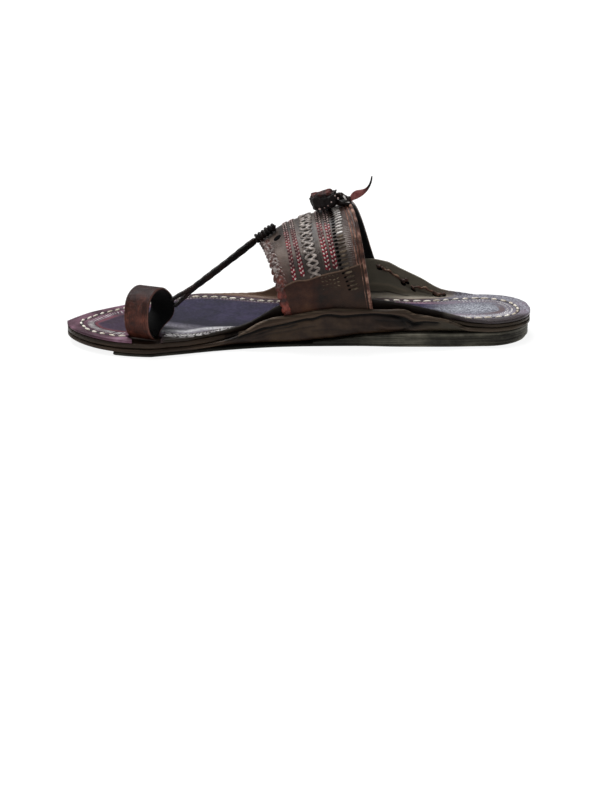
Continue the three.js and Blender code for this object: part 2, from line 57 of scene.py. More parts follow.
scene.view_settings.view_transform = "Standard"


def srgb(code):
    """Linear colour of an sRGB hex value."""
    levels = [int(code[i:i + 2], 16) / 255 for i in (0, 2, 4)]
    return [p / 12.92 if p <= 0.04045 else ((p + 0.055) / 1.055) ** 2.4 for p in levels] + [1.0]


def add_node(tree, kind, settings=None, links=None):
    """Adds a node. Settings are its properties or inputs, stops those of a colour ramp."""
    node = tree.nodes.new("ShaderNode" + kind)
    for key, value in (settings or {}).items():
        if key == "stops":
            for i, (place, code) in enumerate(value):
                stop = node.color_ramp.elements[i] if i < 2 else node.color_ramp.elements.new(place)
                stop.position = place
                stop.color = srgb(code)
        elif isinstance(key, str) and hasattr(node, key):
            setattr(node, key, value)
        else:
            node.inputs[key].default_value = value
    for key, socket in (links or {}).items():
        tree.links.new(socket, node.inputs[key])
    return node


# Matt white paper: a little light of its own keeps it near white without a hard shadow.
paper = bpy.data.materials.new("matt_white_paper")
paper.use_nodes = True
for socket, value in (("Base Color", srgb("757574")), ("Roughness", 0.9), ("Specular IOR Level", 0.1),
                      ("Emission Color", srgb("ffffff")), ("Emission Strength", 0.88)):
    paper.node_tree.nodes["Principled BSDF"].inputs[socket].default_value = value
bm = bmesh.new()
FLOOR_HALF, FLOOR_DROP = 15, 0.0002
bmesh.ops.create_grid(bm, x_segments=1, y_segments=1, size=FLOOR_HALF)
bmesh.ops.translate(bm, verts=bm.verts, vec=(0, 0, -FLOOR_DROP))
floor = bpy.data.objects.new("floor", bpy.data.meshes.new("floor"))
bm.to_mesh(floor.data)
bm.free()
floor.data.materials.append(paper)
scene.collection.objects.link(floor)

world = bpy.data.worlds.new("dim_surround")
world.use_nodes = True
world.node_tree.nodes["Background"].inputs["Color"].default_value = srgb("eef2f6")
world.node_tree.nodes["Background"].inputs["Strength"].default_value = 0.25
scene.world = world
for name, towards, strength, spread in (
        ("high_light", (0.25, -0.4, 1.0), 3.6, 34), ("front_fill", (0.5, 1.0, 0.8), 0.5, 60)):
    lamp = bpy.data.objects.new(name, bpy.data.lights.new(name, "SUN"))
    lamp.data.energy = strength
    lamp.data.angle = math.radians(spread)
    lamp.rotation_euler = Vector(towards).to_track_quat("Z", "Y").to_euler()
    scene.collection.objects.link(lamp)

# Tread: the bottom leather, 1.8 mm of dark waxed hide cut to the sole's outline. It lies flat on
# the ground and ends 31.5 mm short of the toe. Its cut edge shows as a thin line along the floor.
TIP_X = 140.0
GAP = 0.3
TREAD_THICK, TREAD_FRONT = 1.8, 108.5
TREAD_INSET, TREAD_HEEL, TREAD_ROUND = 0.6, 27.8, 0.6  # set in from the sole's edge, heel's depth, rim
OUTLINE = (  # x, inner edge, outer edge
    (-110, 30.0, -30.0), (-85, 31.5, -31.0), (-60, 31.6, -33.0), (-35, 30.4, -37.0),
    (-10, 31.0, -42.0), (10, 32.5, -46.0), (30, 36.0, -49.8), (50, 41.3, -52.2),
    (70, 48.0, -52.2), (86, 53.0, -52.2))
HEEL_X, HEEL_HALF, HEEL_DEPTH = -110.0, 30.0, 30.0
HEEL_POWER = {1: 2.0, -1: 2.6}  # the heel is squarer on its outer side
TOE_TIP_Y = 14.0
TOE_ARC = {1: (54.0, 39.0, 1.85), -1: (80.0, 66.2, 1.35)}  # depth, breadth and power, inner and outer


def smoothstep(value):
    t = min(1.0, max(0.0, value))
    return t * t * (3 - 2 * t)


def along(table, at, column):
    """Smooth reading of one column of a table against its first, without overshoot."""
    rows = table if table[0][0] < table[-1][0] else table[::-1]
    last = len(rows) - 1
    x = min(rows[last][0], max(rows[0][0], at))
    i = 0
    while i < last - 1 and x > rows[i + 1][0]:
        i += 1

    def slope(k):
        return (rows[k + 1][column] - rows[k][column]) / (rows[k + 1][0] - rows[k][0])

    def tangent(k):
        if k in (0, last):
            return slope(min(k, last - 1))
        before, after = slope(k - 1), slope(k)
        return 0.0 if before * after <= 0 else 2 * before * after / (before + after)

    h = rows[i + 1][0] - rows[i][0]
    t = (x - rows[i][0]) / h
    rise = t * t * (3 - 2 * t)
    bend = t * (1 - t) * (1 - t) * tangent(i) - t * t * (1 - t) * tangent(i + 1)
    return rows[i][column] * (1 - rise) + rows[i + 1][column] * rise + h * bend


def edge(x, side, inset=0.0, heel_depth=HEEL_DEPTH):
    """Y of the sole's edge at x, on side 1, inner, or -1, outer."""
    depth, breadth, power = TOE_ARC[side]
    if x > TIP_X - depth:
        u = min(1.0, max(0.0, 1 - (TIP_X - x) / depth))
        reach = max(0.0, 1 - u ** power) ** (1 / power)
        return TOE_TIP_Y + side * max(reach * breadth - inset, 0.8)
    if x < HEEL_X:
        u = min(1.0, (HEEL_X - x) / heel_depth)
        reach = max(0.0, 1 - u ** HEEL_POWER[side]) ** (1 / HEEL_POWER[side])
        return side * max((HEEL_HALF - inset) * reach, 0.8)
    return along(OUTLINE, x, 1 if side > 0 else 2) - side * inset


def station(u, rear, front):
    """X at a fraction of the way from the rear to the front, closer together at both ends."""
    return (rear + front) / 2 + (front - rear) / 2 * (0.55 * (2 * u - 1) - 0.45 * math.cos(math.pi * u))


def to_rim(w):
    """Spreads -1 to 1 so that points lie closer together towards both rims."""
    return 0.25 * w + 0.75 * (1.5 * w - 0.5 * w ** 3)


def rim_tree(points):
    tree = kdtree.KDTree(len(points))
    for i, (x, y) in enumerate(points):
        tree.insert((x, y, 0), i)
    tree.balance()
    return tree


def rounding(distance, radius):
    """How far a face falls away at its rim, as a quarter circle does."""
    if distance >= radius:
        return 0.0
    return radius - math.sqrt(radius * radius - (radius - distance) ** 2)


def two_faces(columns, rows, place, cut=None):
    """A leather layer: two grids joined at their rim. place(u, w, face) gives a point and its
    flat pattern: u 0 to 1 from rear to front, w -1 to 1 from outer to inner, face 0 or 1."""
    bm = bmesh.new()
    flat = bm.verts.layers.float_vector.new("flat")
    seam = bm.verts.layers.float_vector.new("seam")
    for face in (0, 1):
        for v in bmesh.ops.create_grid(bm, x_segments=columns, y_segments=rows, size=1)["verts"]:
            v.co, v[flat], v[seam] = place((v.co.x + 1) / 2, v.co.y, face)
    if cut:
        cut(bm)
    bmesh.ops.bridge_loops(bm, edges=[e for e in bm.edges if e.is_boundary])
    bmesh.ops.recalc_face_normals(bm, faces=bm.faces)
    return bm


def make_piece(name, bm, material, slot, *nodes):
    """Turns a mesh worked in millimetres into a smooth piece in metres that rides on the sandal."""
    bmesh.ops.recalc_face_normals(bm, faces=bm.faces)
    bmesh.ops.scale(bm, vec=(0.001, 0.001, 0.001), verts=bm.verts)
    piece = bpy.data.objects.new(name, bpy.data.meshes.new(name))
    bm.to_mesh(piece.data)
    bm.free()
    piece.data.polygons.foreach_set("use_smooth", [True] * len(piece.data.polygons))
    piece.data.materials.append(material)
    scene.collection.objects.link(piece)
    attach(piece, "root")
    if nodes:
        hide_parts(*nodes)
    return piece


def leather(name, tones, patch_mm, roughness, grain_mm, grain_depth, pattern=None, shine=0.14):
    """Tanned leather: blotchy tones, pores with fine creases between them, and polish that comes
    and goes. pattern(tree, colour, height, gloss) lays a piece's own marks over it."""
    material = bpy.data.materials.new(name)
    material.use_nodes = True
    tree = material.node_tree
    shader = tree.nodes["Principled BSDF"]
    spot = add_node(tree, "TexCoord").outputs["Object"]
    blotch = add_node(tree, "TexNoise", {"Scale": 1000 / patch_mm, "Detail": 4, "Roughness": 0.62},
                      {"Vector": spot})
    places = [0.36 + 0.28 * i / (len(tones) - 1) for i in range(len(tones))]
    tone = add_node(tree, "ValToRGB", {"stops": list(zip(places, tones))}, {"Fac": blotch.outputs["Fac"]})
    pores = add_node(tree, "TexVoronoi", {"Scale": 1000 / grain_mm, "feature": "DISTANCE_TO_EDGE"},
                     {"Vector": spot})
    crease = add_node(tree, "MapRange", {"From Max": 0.18, "To Max": grain_depth},
                      {"Value": pores.outputs["Distance"]})
    fibre = add_node(tree, "TexNoise", {"Scale": 3600 / grain_mm, "Detail": 3}, {"Vector": spot})
    height = add_node(tree, "Math", {"operation": "MULTIPLY_ADD", 1: grain_depth},
                      {0: fibre.outputs["Fac"], 2: crease.outputs["Result"]}).outputs[0]
    rub = add_node(tree, "TexNoise", {"Scale": 2600 / patch_mm, "Detail": 2}, {"Vector": spot})
    gloss = add_node(tree, "MapRange", {"From Min": 0.3, "From Max": 0.7, "To Min": roughness[0],
                                        "To Max": roughness[1]}, {"Value": rub.outputs["Fac"]})
    colour, gloss = tone.outputs["Color"], gloss.outputs["Result"]
    if pattern:
        colour, height, gloss = pattern(tree, colour, height, gloss)
    tree.links.new(colour, shader.inputs["Base Color"])
    tree.links.new(gloss, shader.inputs["Roughness"])
    shader.inputs["Specular IOR Level"].default_value = shine
    bump = add_node(tree, "Bump", {"Distance": 0.001, "Strength": 1.0}, {"Height": height})
    tree.links.new(bump.outputs["Normal"], shader.inputs["Normal"])
    return material


def stacked_edge(tree, colour, height, gloss, share=None):
    """Fine level lines, 0.4 mm apart, of hide layers pressed together and waxed at the cut edge."""
    spot = add_node(tree, "TexCoord").outputs["Object"]
    level = add_node(tree, "Mapping", {"Scale": (18, 18, 900)}, {"Vector": spot})
    lines = add_node(tree, "TexNoise", {"Scale": 1.0, "Detail": 3, "Roughness": 0.7},
                     {"Vector": level.outputs["Vector"]})
    shade = add_node(tree, "ValToRGB", {"stops": ((0.38, "6a6760"), (0.62, "ffffff"))},
                     {"Fac": lines.outputs["Fac"]})
    mix = add_node(tree, "MixRGB", {"blend_type": "MULTIPLY", "Fac": 0.8},
                   {"Color1": colour, "Color2": shade.outputs["Color"]})
    depth = lines.outputs["Fac"]
    if share:
        tree.links.new(share, mix.inputs["Fac"])
        depth = add_node(tree, "Math", {"operation": "MULTIPLY"}, {0: depth, 1: share}).outputs[0]
    raised = add_node(tree, "Math", {"operation": "MULTIPLY_ADD", 1: 0.28}, {0: depth, 2: height})
    return mix.outputs["Color"], raised.outputs[0], gloss


def parts(tree, name):
    """The three parts of the object coordinates, or of a mesh's own attribute."""
    source = (add_node(tree, "TexCoord").outputs["Object"] if name == "Object"
              else add_node(tree, "Attribute", {"attribute_name": name}).outputs["Vector"])
    return add_node(tree, "SeparateXYZ", {}, {"Vector": source}).outputs


def layers(tree, colour, rows):
    """Lays colours over one another. A row is a colour and its ramps, whose product is its share:
    each a socket, where it starts and ends, and the share there, 0 and 1 if left out."""
    for code, *ramps in rows:
        share = None
        for socket, start, end, *shares in ramps:
            first, last = shares or (0.0, 1.0)
            ramp = add_node(tree, "MapRange", {"From Min": start, "From Max": end, "To Min": first,
                                               "To Max": last}, {"Value": socket}).outputs["Result"]
            share = ramp if share is None else add_node(
                tree, "Math", {"operation": "MULTIPLY"}, {0: share, 1: ramp}).outputs[0]
        colour = add_node(tree, "MixRGB", {"Color2": srgb(code)},
                          {"Fac": share, "Color1": colour}).outputs["Color"]
    return colour


def arch_painted_shade(tree, colour, height, gloss):
    """Painted shade: near-black from under the arch to the toe, where the sole's lower side lies
    in shade. The heel keeps the hide's plain tone, and the cut edge gets its level lines.
    """
    x = parts(tree, "Object")["X"]
    colour = layers(tree, colour, [("090806", (x, -0.07, -0.01, 0.0, 0.86), (x, 0.05, 0.08, 1.0, 0.4))])
    return stacked_edge(tree, colour, height, gloss)


# Waxed sole leather, cut and rubbed down: near-black with an olive cast, dull, lined at its edges,
# with painted shade under the arch.
waxed_hide = leather("waxed_sole_hide", ("322f28", "504d43", "716d60"), 22, (0.42, 0.62), 1.1, 0.05,
                     pattern=arch_painted_shade)
TREAD_REAR = HEEL_X - TREAD_HEEL
tread_rim = rim_tree([(x, edge(x, side, TREAD_INSET, TREAD_HEEL)) for side in (1, -1)
                      for x in [station(i / 700, TREAD_REAR, TREAD_FRONT) for i in range(701)]]
                     + [(TREAD_FRONT, -45 + i * 0.5) for i in range(190)])


def across(x, w, inset, heel_depth):
    """Y at w, -1 to 1, across a flat layer."""
    inner, outer = (edge(x, side, inset, heel_depth) for side in (1, -1))
    return (inner + outer) / 2 + to_rim(w) * (inner - outer) / 2


def place_tread(u, w, face):
    x = station(u, TREAD_REAR, TREAD_FRONT)
    y = across(x, w, TREAD_INSET, TREAD_HEEL)
    fall = rounding(tread_rim.find((x, y, 0))[2], TREAD_ROUND)
    z = TREAD_THICK - fall if face else fall
    return (x, y, z), (x, y, z), (0, 0, 0)


make_piece("tread_hide", two_faces(150, 48, place_tread), waxed_hide, "sole_leather", "tread")

# Heel lift: a wedge of hide layers glued up under the heel and feathered out below the arch. Its
# rubbed side shows each layer as a line, with worn, wider joints every 2 mm.
LIFT_INSET, LIFT_HEEL = 0.2, 29.0
LIFT_FRONT, LIFT_REAR = -8.0, HEEL_X - LIFT_HEEL
LIFT_GAP = 0.1
BREAST_X, WEDGE_REAR, WEDGE_RISE = 10.0, -72.0, 6.6
JOINTS, JOINT_DEPTH, JOINT_HALF = (3.7, 5.3, 6.9), 0.55, 0.28


def heelward(x):
    return smoothstep((BREAST_X - x) / (BREAST_X - WEDGE_REAR))


def place_lift(u, w, face):
    x = station(u, LIFT_REAR, LIFT_FRONT)
    y = across(x, w, LIFT_INSET, LIFT_HEEL)
    z = TREAD_THICK + WEDGE_RISE * heelward(x) + 2 * LIFT_GAP if face else TREAD_THICK + LIFT_GAP
    return (x, y, z), (x, y, z), (0, 0, 0)


bm = two_faces(130, 44, place_lift)
walls = [e for e in bm.edges if abs(e.verts[0].co.z - e.verts[1].co.z) > 0.25
         and (e.verts[0].co.xy - e.verts[1].co.xy).length < 0.01]
bmesh.ops.subdivide_edges(bm, edges=walls, cuts=13, use_grid_fill=True)
bm.normal_update()
for v in bm.verts:
    if TREAD_THICK + 0.11 < v.co.z < TREAD_THICK + WEDGE_RISE * heelward(v.co.x) + 0.19:
        wobble = 0.35 * noise.noise(v.co / 14)
        depth = sum(JOINT_DEPTH * math.exp(-((v.co.z - z - wobble) / JOINT_HALF) ** 2) for z in JOINTS)
        v.co -= Vector((v.normal.x, v.normal.y, 0)) * depth
make_piece("heel_lift_hide", bm, waxed_hide, "sole_leather", "heel_lift")

# Outsole: 2.5 mm of brown hide as long as the sandal. Beside the instep its edges are wetted and
# folded up into ears that hold the band; the inner ear is rolled over at its top and creased.
OUTSOLE_THICK, INSOLE_THICK = 2.5, 2.0
MID_THICK, MID_THINNING = 2.9, 0.9
SPRING_X, TOE_SPRING = 100.0, 1.6
OUTSOLE_BEND, INSOLE_BEND = 6.0, 5.0
EAR_LEAN = math.radians(75)
EARS = (  # x, then heights: insole inner, outsole inner, insole outer, outsole outer
    (64, 0, 0, 0, 0), (54, 1.1, 1.2, 0.6, 0.5), (46, 2.4, 2.8, 1.05, 0.8), (38, 4.0, 5.3, 1.95, 1.55),
    (30, 6.6, 10.3, 3.5, 2.95), (22, 11.0, 14.5, 5.9, 5.1), (14, 15.9, 17.0, 10.0, 8.8),
    (6, 19.6, 17.8, 14.6, 12.5), (-6, 21.5, 19.3, 19.8, 16.1), (-18, 20.8, 20.0, 23.3, 18.0),
    (-30, 18.8, 18.3, 25.2, 18.8), (-42, 16.6, 16.6, 24.8, 17.6), (-54, 13.9, 15.5, 22.5, 15.7),
    (-62, 11.9, 14.6, 18.5, 13.0), (-68, 10.4, 11.6, 15.7, 11.1), (-76, 8.4, 10.2, 12.1, 8.4),
    (-84, 6.4, 8.6, 7.7, 5.5), (-92, 4.2, 5.4, 4.6, 3.3), (-100, 2.0, 1.6, 2.8, 1.9),
    (-112, 0, 0, 0, 0))
EAR_COLUMN = {("insole", 1): 1, ("outsole", 1): 2, ("insole", -1): 3, ("outsole", -1): 4}


def ear(layer, x, side):
    return max(0.0, along(EARS, x, EAR_COLUMN[layer, side]))


def mid_thick(x):
    return MID_THICK - MID_THINNING * heelward(x)


def outsole_under(x):
    spring = max(0.0, (x - SPRING_X) / (TIP_X - SPRING_X))
    return TREAD_THICK + GAP + WEDGE_RISE * heelward(x) + TOE_SPRING * spring * spring


def mid_under(x):
    return outsole_under(x) + OUTSOLE_THICK + GAP


def insole_under(x):
    return mid_under(x) + mid_thick(x) + GAP


def fold_angle(x, side):
    lower = min(ear("insole", x, side), ear("outsole", x, side))
    return min(EAR_LEAN, math.acos(min(1.0, max(-1.0, 1 - lower / OUTSOLE_BEND))))


def bent(flat, under, radius, full, height, thick, trim=0.0):
    """Half of a layer's section: flat, then a bend, then straight on till it has climbed to height."""
    bend_height = radius * (1 - math.cos(full))
    angle = math.acos(1 - height / radius) if height < bend_height else full
    straight = (height - bend_height) / math.sin(full) if height > bend_height else 0.0
    return {"flat": flat, "under": under, "radius": radius, "angle": angle, "thick": thick,
            "end": flat + radius * angle + straight - trim}


@lru_cache(maxsize=None)
def fold(x, side, layer):
    angle = fold_angle(x, side)
    flat = side * edge(x, side, 0.3 if layer == "insole" else 0.0) - OUTSOLE_BEND * math.sin(angle)
    if layer == "outsole":
        return bent(flat, outsole_under(x), OUTSOLE_BEND, angle, ear("outsole", x, side), OUTSOLE_THICK)
    apart = insole_under(x) - outsole_under(x)
    flat += (OUTSOLE_BEND - INSOLE_BEND - apart) * math.tan(angle / 2)
    if layer == "insole":
        return bent(flat, insole_under(x), INSOLE_BEND, angle, ear("insole", x, side), INSOLE_THICK)
    beside_band = smoothstep((x + 62) / 4) * smoothstep((15.5 - x) / 4)
    height = 0.88 * min(ear("insole", x, side), ear("outsole", x, side)) * (1 - beside_band)
    return bent(flat, mid_under(x), INSOLE_BEND + GAP + mid_thick(x), angle, height, mid_thick(x),
                0.8 * (1 - beside_band))


def fold_point(half, s, lift):
    """Place across and height of a point s along a half section's underside, lift mm into it."""
    if s <= half["flat"]:
        return s, half["under"] + lift
    turn = min(s - half["flat"], half["radius"] * half["angle"]) / half["radius"]
    beyond = max(0.0, s - half["flat"] - half["radius"] * half["angle"])
    reach = half["radius"] - lift
    return (half["flat"] + reach * math.sin(turn) + beyond * math.cos(turn),
            half["under"] + half["radius"] - reach * math.cos(turn) + beyond * math.sin(turn))


def sole_placer(layer, rim_radius, shape=None):
    """Makes place(u, w, face) for a folded sole layer. shape(x, side, back) gives how far creases
    and swells push the leather outwards, back being the distance from the rim along it."""
    rim = rim_tree([(x, side * fold(x, side, layer)["end"]) for side in (1, -1)
                    for x in [station(i / 900, -TIP_X, TIP_X) for i in range(901)]])

    def place(u, w, face):
        x = station(u, -TIP_X, TIP_X)
        middle = (edge(x, 1) + edge(x, -1)) / 2
        side = 1 if w >= 0 else -1
        half = fold(x, side, layer)
        s = side * middle + abs(to_rim(w)) * (half["end"] - side * middle)
        to_edge = rim.find((x, side * s, 0))[2]
        fall = rounding(to_edge, rim_radius)
        lift = half["thick"] - fall if face else fall
        marks, swell = shape(x, side, half["end"] - s) if shape else (0.0, 0.0)
        if face and layer == "insole":
            lift -= 0.9 * smoothstep((x - 126) / 14) * smoothstep((8 - to_edge) / 8)
        y, z = fold_point(half, s, lift - (marks + swell) * (0.7 if face else 1))
        return (x, side * y, z), (x, side * s, marks), (half["end"] - s, side, face)

    return place


# Soft creases of the ears: x and distance from the rim, then height and half width of each.
INNER_EAR_CREASES = (
    (((38, 0.9), (35, 1.4), (24.7, 4.5), (21.3, 4.8), (16.4, 6.0), (11.5, 5.7), (5.9, 4.9), (-3.8, 4.2),
      (-7.3, 4.8), (-15, 3.4), (-24.7, 4.9), (-34.5, 3.7), (-45, 2.7), (-52, 3.7), (-60, 5.2),
      (-66.5, 6.2), (-74, 3.6), (-84, 2.4)), -1.5, 0.8),
    (((36, 0.5), (24.7, 2.1), (16.4, 2.9), (5.9, 2.3), (-7.3, 2.2), (-15, 1.5), (-24.7, 2.3),
      (-45, 1.1), (-60, 2.2), (-66.5, 2.9), (-84, 0.9)), 0.8, 1.2),
    (((34, 3.2), (28.9, 5.2), (21.3, 7.4), (10.1, 7.6), (5.2, 7.0), (-1, 6.6)), -0.9, 0.7),
    (((33, 4.6), (24, 6.2), (14, 6.9), (4, 6.0)), 0.5, 0.6),
    (((30, 8.0), (22, 9.6), (12, 10.4), (0, 9.6), (-12, 9.9)), -0.5, 0.9),
    (((-50, 2.5), (-54, 3.4), (-58.9, 5.5), (-63, 10.0), (-65, 13.5)), -1.0, 0.8),
    (((-58, 15), (-62.4, 12.0), (-66, 8.5), (-70, 5.4), (-74, 3.6)), -0.9, 0.9),
    (((-42, 5.6), (-48.4, 7.2), (-58, 7.4), (-68.6, 6.6), (-75.6, 5.2), (-84, 4.0)), -0.6, 0.8),
    (((-44, 9.0), (-52, 11.5), (-60, 11.0), (-70, 9.5), (-77, 6.8)), 0.5, 1.1),
    (((-36, 12.5), (-46, 13.5), (-56, 14.5), (-64, 14.5)), -0.45, 1.0),
    (((-18, 9.5), (-30, 11.0), (-44, 12.0)), 0.35, 1.8),
    (((-4, 12.5), (-22, 14.0), (-38, 15.5)), -0.35, 1.4))


def ripple(creases, x, back):
    """Sum of the creases of an ear at x, each fading out over its last 4 mm."""
    total = 0.0
    for line, height, half_width in creases:
        low, high = min(p[0] for p in line), max(p[0] for p in line)
        if low < x < high:
            near = (back - along(line, x, 1)) / half_width
            if abs(near) < 3:
                total += height * math.exp(-near * near) * smoothstep(min(x - low, high - x) / 4)
    return total


def shape_outsole(x, side, back):
    tall = smoothstep((ear("outsole", x, side) - 4) / 8)
    swell = 0.45 * noise.noise(Vector((x / 14, side * 3 + back / 8, 0))) * tall
    return ripple(INNER_EAR_CREASES, x, back) * (1 if side > 0 else 0.6), swell


def ear_tones_and_painted_light(tree, colour, height, gloss):
    """Folded ears: olive at the heel, and a paler cut edge towards toe and heel that shows the hide's lines;
    painted highlights on each ridge and along the top, painted shade black down in the creases."""
    flat, back = parts(tree, "flat"), parts(tree, "seam")["X"]
    x, marks = flat["X"], flat["Z"]
    folded, between = (add_node(tree, "Math", {"operation": "COMPARE", 1: middle, 2: half}, {0: x}).outputs[0]
                       for middle, half in ((-26.0, 62.0), (0.0, 44.0)))
    cut = add_node(tree, "MapRange", {"From Min": 0.5, "From Max": 1.6, "To Min": 0.8, "To Max": 0.0},
                   {"Value": back}).outputs["Result"]
    colour = layers(tree, colour, [
        ("332f27", (x, -58, -88, 0.0, 0.9)),
        # Painted highlight on the crease ridges, painted shade in their hollows.
        ("46372c", (marks, 0.2, 0.8, 0.0, 0.6)),
        ("060403", (marks, -0.15, -0.8)),
        # Painted highlight along the top of each ear.
        ("6f5f50", (back, 0.3, 1.0, 0.6, 0.0), (folded, 0, 1)),
        ("56473b", (between, 0, 1, 0.55, 0.0), (cut, 0, 1))])
    return stacked_edge(tree, colour, height, gloss, cut)


# Folded brown hide, oiled: dark brown with olive patches and a low satin shine.
folded_hide = leather("oiled_brown_hide", ("160e0a", "271b14", "3a2c20"), 26, (0.34, 0.55), 1.3, 0.06,
                      pattern=ear_tones_and_painted_light, shine=0.12)
bm = two_faces(230, 100, sole_placer("outsole", 1.1, shape_outsole))
make_piece("outsole_hide", bm, folded_hide, "edge_leather", "outsole")

# Midsole: a filler of hide between outsole and insole. It shows only as a layer line round the
# toe and the heel, and stops short where the band's ends stand between the ears.
bm = two_faces(190, 60, sole_placer("midsole", 0.5))
make_piece("midsole_hide", bm, folded_hide, "edge_leather", "midsole")

# Insole: 2 mm of polished hide, dyed violet in the middle, brown at the rim. It folds up inside
# the band, is tooled round its border, and is notched at the inner side for the toe loop's ends.
NOTCH = ((97.3, 60.0), (97.0, 49.8), (101.4, 43.4), (96.8, 31.6), (80.6, 38.5), (80.0, 48.4), (81.4, 60.0))
STITCH_LINE = (  # plan of the sewn line, once round from the notch by way of the toe
    (103.5, 43.3), (111.8, 41.0), (117.6, 38.2), (122.8, 34.4), (126.8, 29.3), (129.8, 23.1),
    (130.6, 16.0), (127.9, 10.0), (124.0, 3.6), (119.5, -3.9), (114.1, -9.2), (109.2, -14.0),
    (100, -21.5), (90, -29), (80, -35.5), (74, -39), (67.7, -41.6), (54.3, -41.2), (38.1, -36.8),
    (24, -32.5), (15.7, -31.0), (0, -29.5), (-20, -26), (-40, -20), (-61.2, -14.6), (-70.3, -12.4),
    (-81.7, -13.0), (-90.4, -15.5), (-96.3, -17.2), (-103.4, -18.3), (-111.4, -19.0),
    (-118.5, -18.0), (-123.6, -15.0), (-128.4, -10.0), (-131.5, -2.2), (-132.0, 6.5),
    (-129.5, 13.5), (-124, 19.0), (-116, 22.5), (-105, 23.8), (-90, 23.0), (-70, 21.5), (-45, 20.0),
    (-20, 20.0), (0, 20.5), (15, 21.5), (28, 24.0), (38.6, 27.3), (45.9, 30.8), (52.4, 35.0),
    (58.8, 39.0), (65.3, 41.6), (72.1, 41.6), (78.3, 40.3))


def spline(points, step, closed=False):
    """Smooth run of points about step mm apart through the given ones."""
    count = len(points)
    pick = (lambda i: points[i % count]) if closed else (lambda i: points[min(max(i, 0), count - 1)])
    run = []
    for i in range(count if closed else count - 1):
        a, b, c, d = (Vector(pick(k)) for k in (i - 1, i, i + 1, i + 2))
        pieces = max(1, math.ceil((c - b).length / step))
        for j in range(pieces):
            t = j / pieces
            run.append(0.5 * (2 * b + t * (c - a) + t * t * (2 * a - 5 * b + 4 * c - d)
                              + t * t * t * (3 * b - a - 3 * c + d)))
    if not closed:
        run.append(Vector(points[-1]))
    return run


def walk(run, u):
    """Place at a fraction of a run's points, counted from its start, and the point before it."""
    at = u * (len(run) - 1)
    i = min(int(at), len(run) - 2)
    return run[i].lerp(run[i + 1], at - i), i, at


def inside(polygon, x, y):
    """True if the place is within the polygon, by counting crossed sides."""
    odd = False
    for (x0, y0), (x1, y1) in zip(polygon, polygon[1:] + polygon[:1]):
        if (y0 > y) != (y1 > y) and x < x0 + (y - y0) / (y1 - y0) * (x1 - x0):
            odd = not odd
    return odd


stitch_run = spline(STITCH_LINE, 0.5, closed=True)
stitch_tree = rim_tree([tuple(p) for p in stitch_run])
stitch_loop = [tuple(p) for p in stitch_run[::8]]
OUTER_EAR_WRINKLES = (
    (((-30, 21), (-47, 20.5), (-56, 18.5), (-70, 16.5)), -0.7, 0.8),
    (((-34, 24), (-50, 24.0), (-60, 22.0), (-72, 19.0)), 0.5, 1.0),
    (((-38, 27.5), (-52, 27.0), (-64, 25.0)), -0.5, 0.8),
    (((-30, 17), (-44, 16.0), (-58, 14.0), (-70, 12.0)), 0.4, 1.2),
    (((-60, 8.5), (-68, 9.5), (-78, 8.0), (-90, 6.0)), -0.5, 1.2))


def shape_insole(x, side, back):
    tall = smoothstep((ear("insole", x, side) - 4) / 8)
    swell = 0.4 * noise.noise(Vector((x / 18, 7 + side * 3 + back / 10, 0))) * tall
    return -ripple(OUTER_EAR_WRINKLES, x, back) if side < 0 else 0.0, swell


def place_insole(u, w, face):
    co, flat, seam = sole_insole(u, w, face)
    if abs(flat[1]) > 60:
        return co, flat, (40, 0, 0)
    distance = stitch_tree.find((flat[0], flat[1], 0))[2]
    signed = distance if inside(stitch_loop, flat[0], flat[1]) else -distance
    return co, flat, (signed, seam[0], face)


def cut_notch(bm):
    for (x0, y0), (x1, y1) in zip(NOTCH, NOTCH[1:]):
        near = [f for f in bm.faces if 72 < f.calc_center_median().x < 108 and f.calc_center_median().y > 25]
        around = {e for f in near for e in f.edges}
        corners = {v for f in near for v in f.verts}
        bmesh.ops.bisect_plane(bm, geom=near + list(around) + list(corners),
                               plane_co=(x0, y0, 0), plane_no=(y1 - y0, x0 - x1, 0))
    gone = [f for f in bm.faces if 78 < f.calc_center_median().x < 103
            and inside(NOTCH, f.calc_center_median().x, f.calc_center_median().y)]
    bmesh.ops.delete(bm, geom=gone, context="FACES")


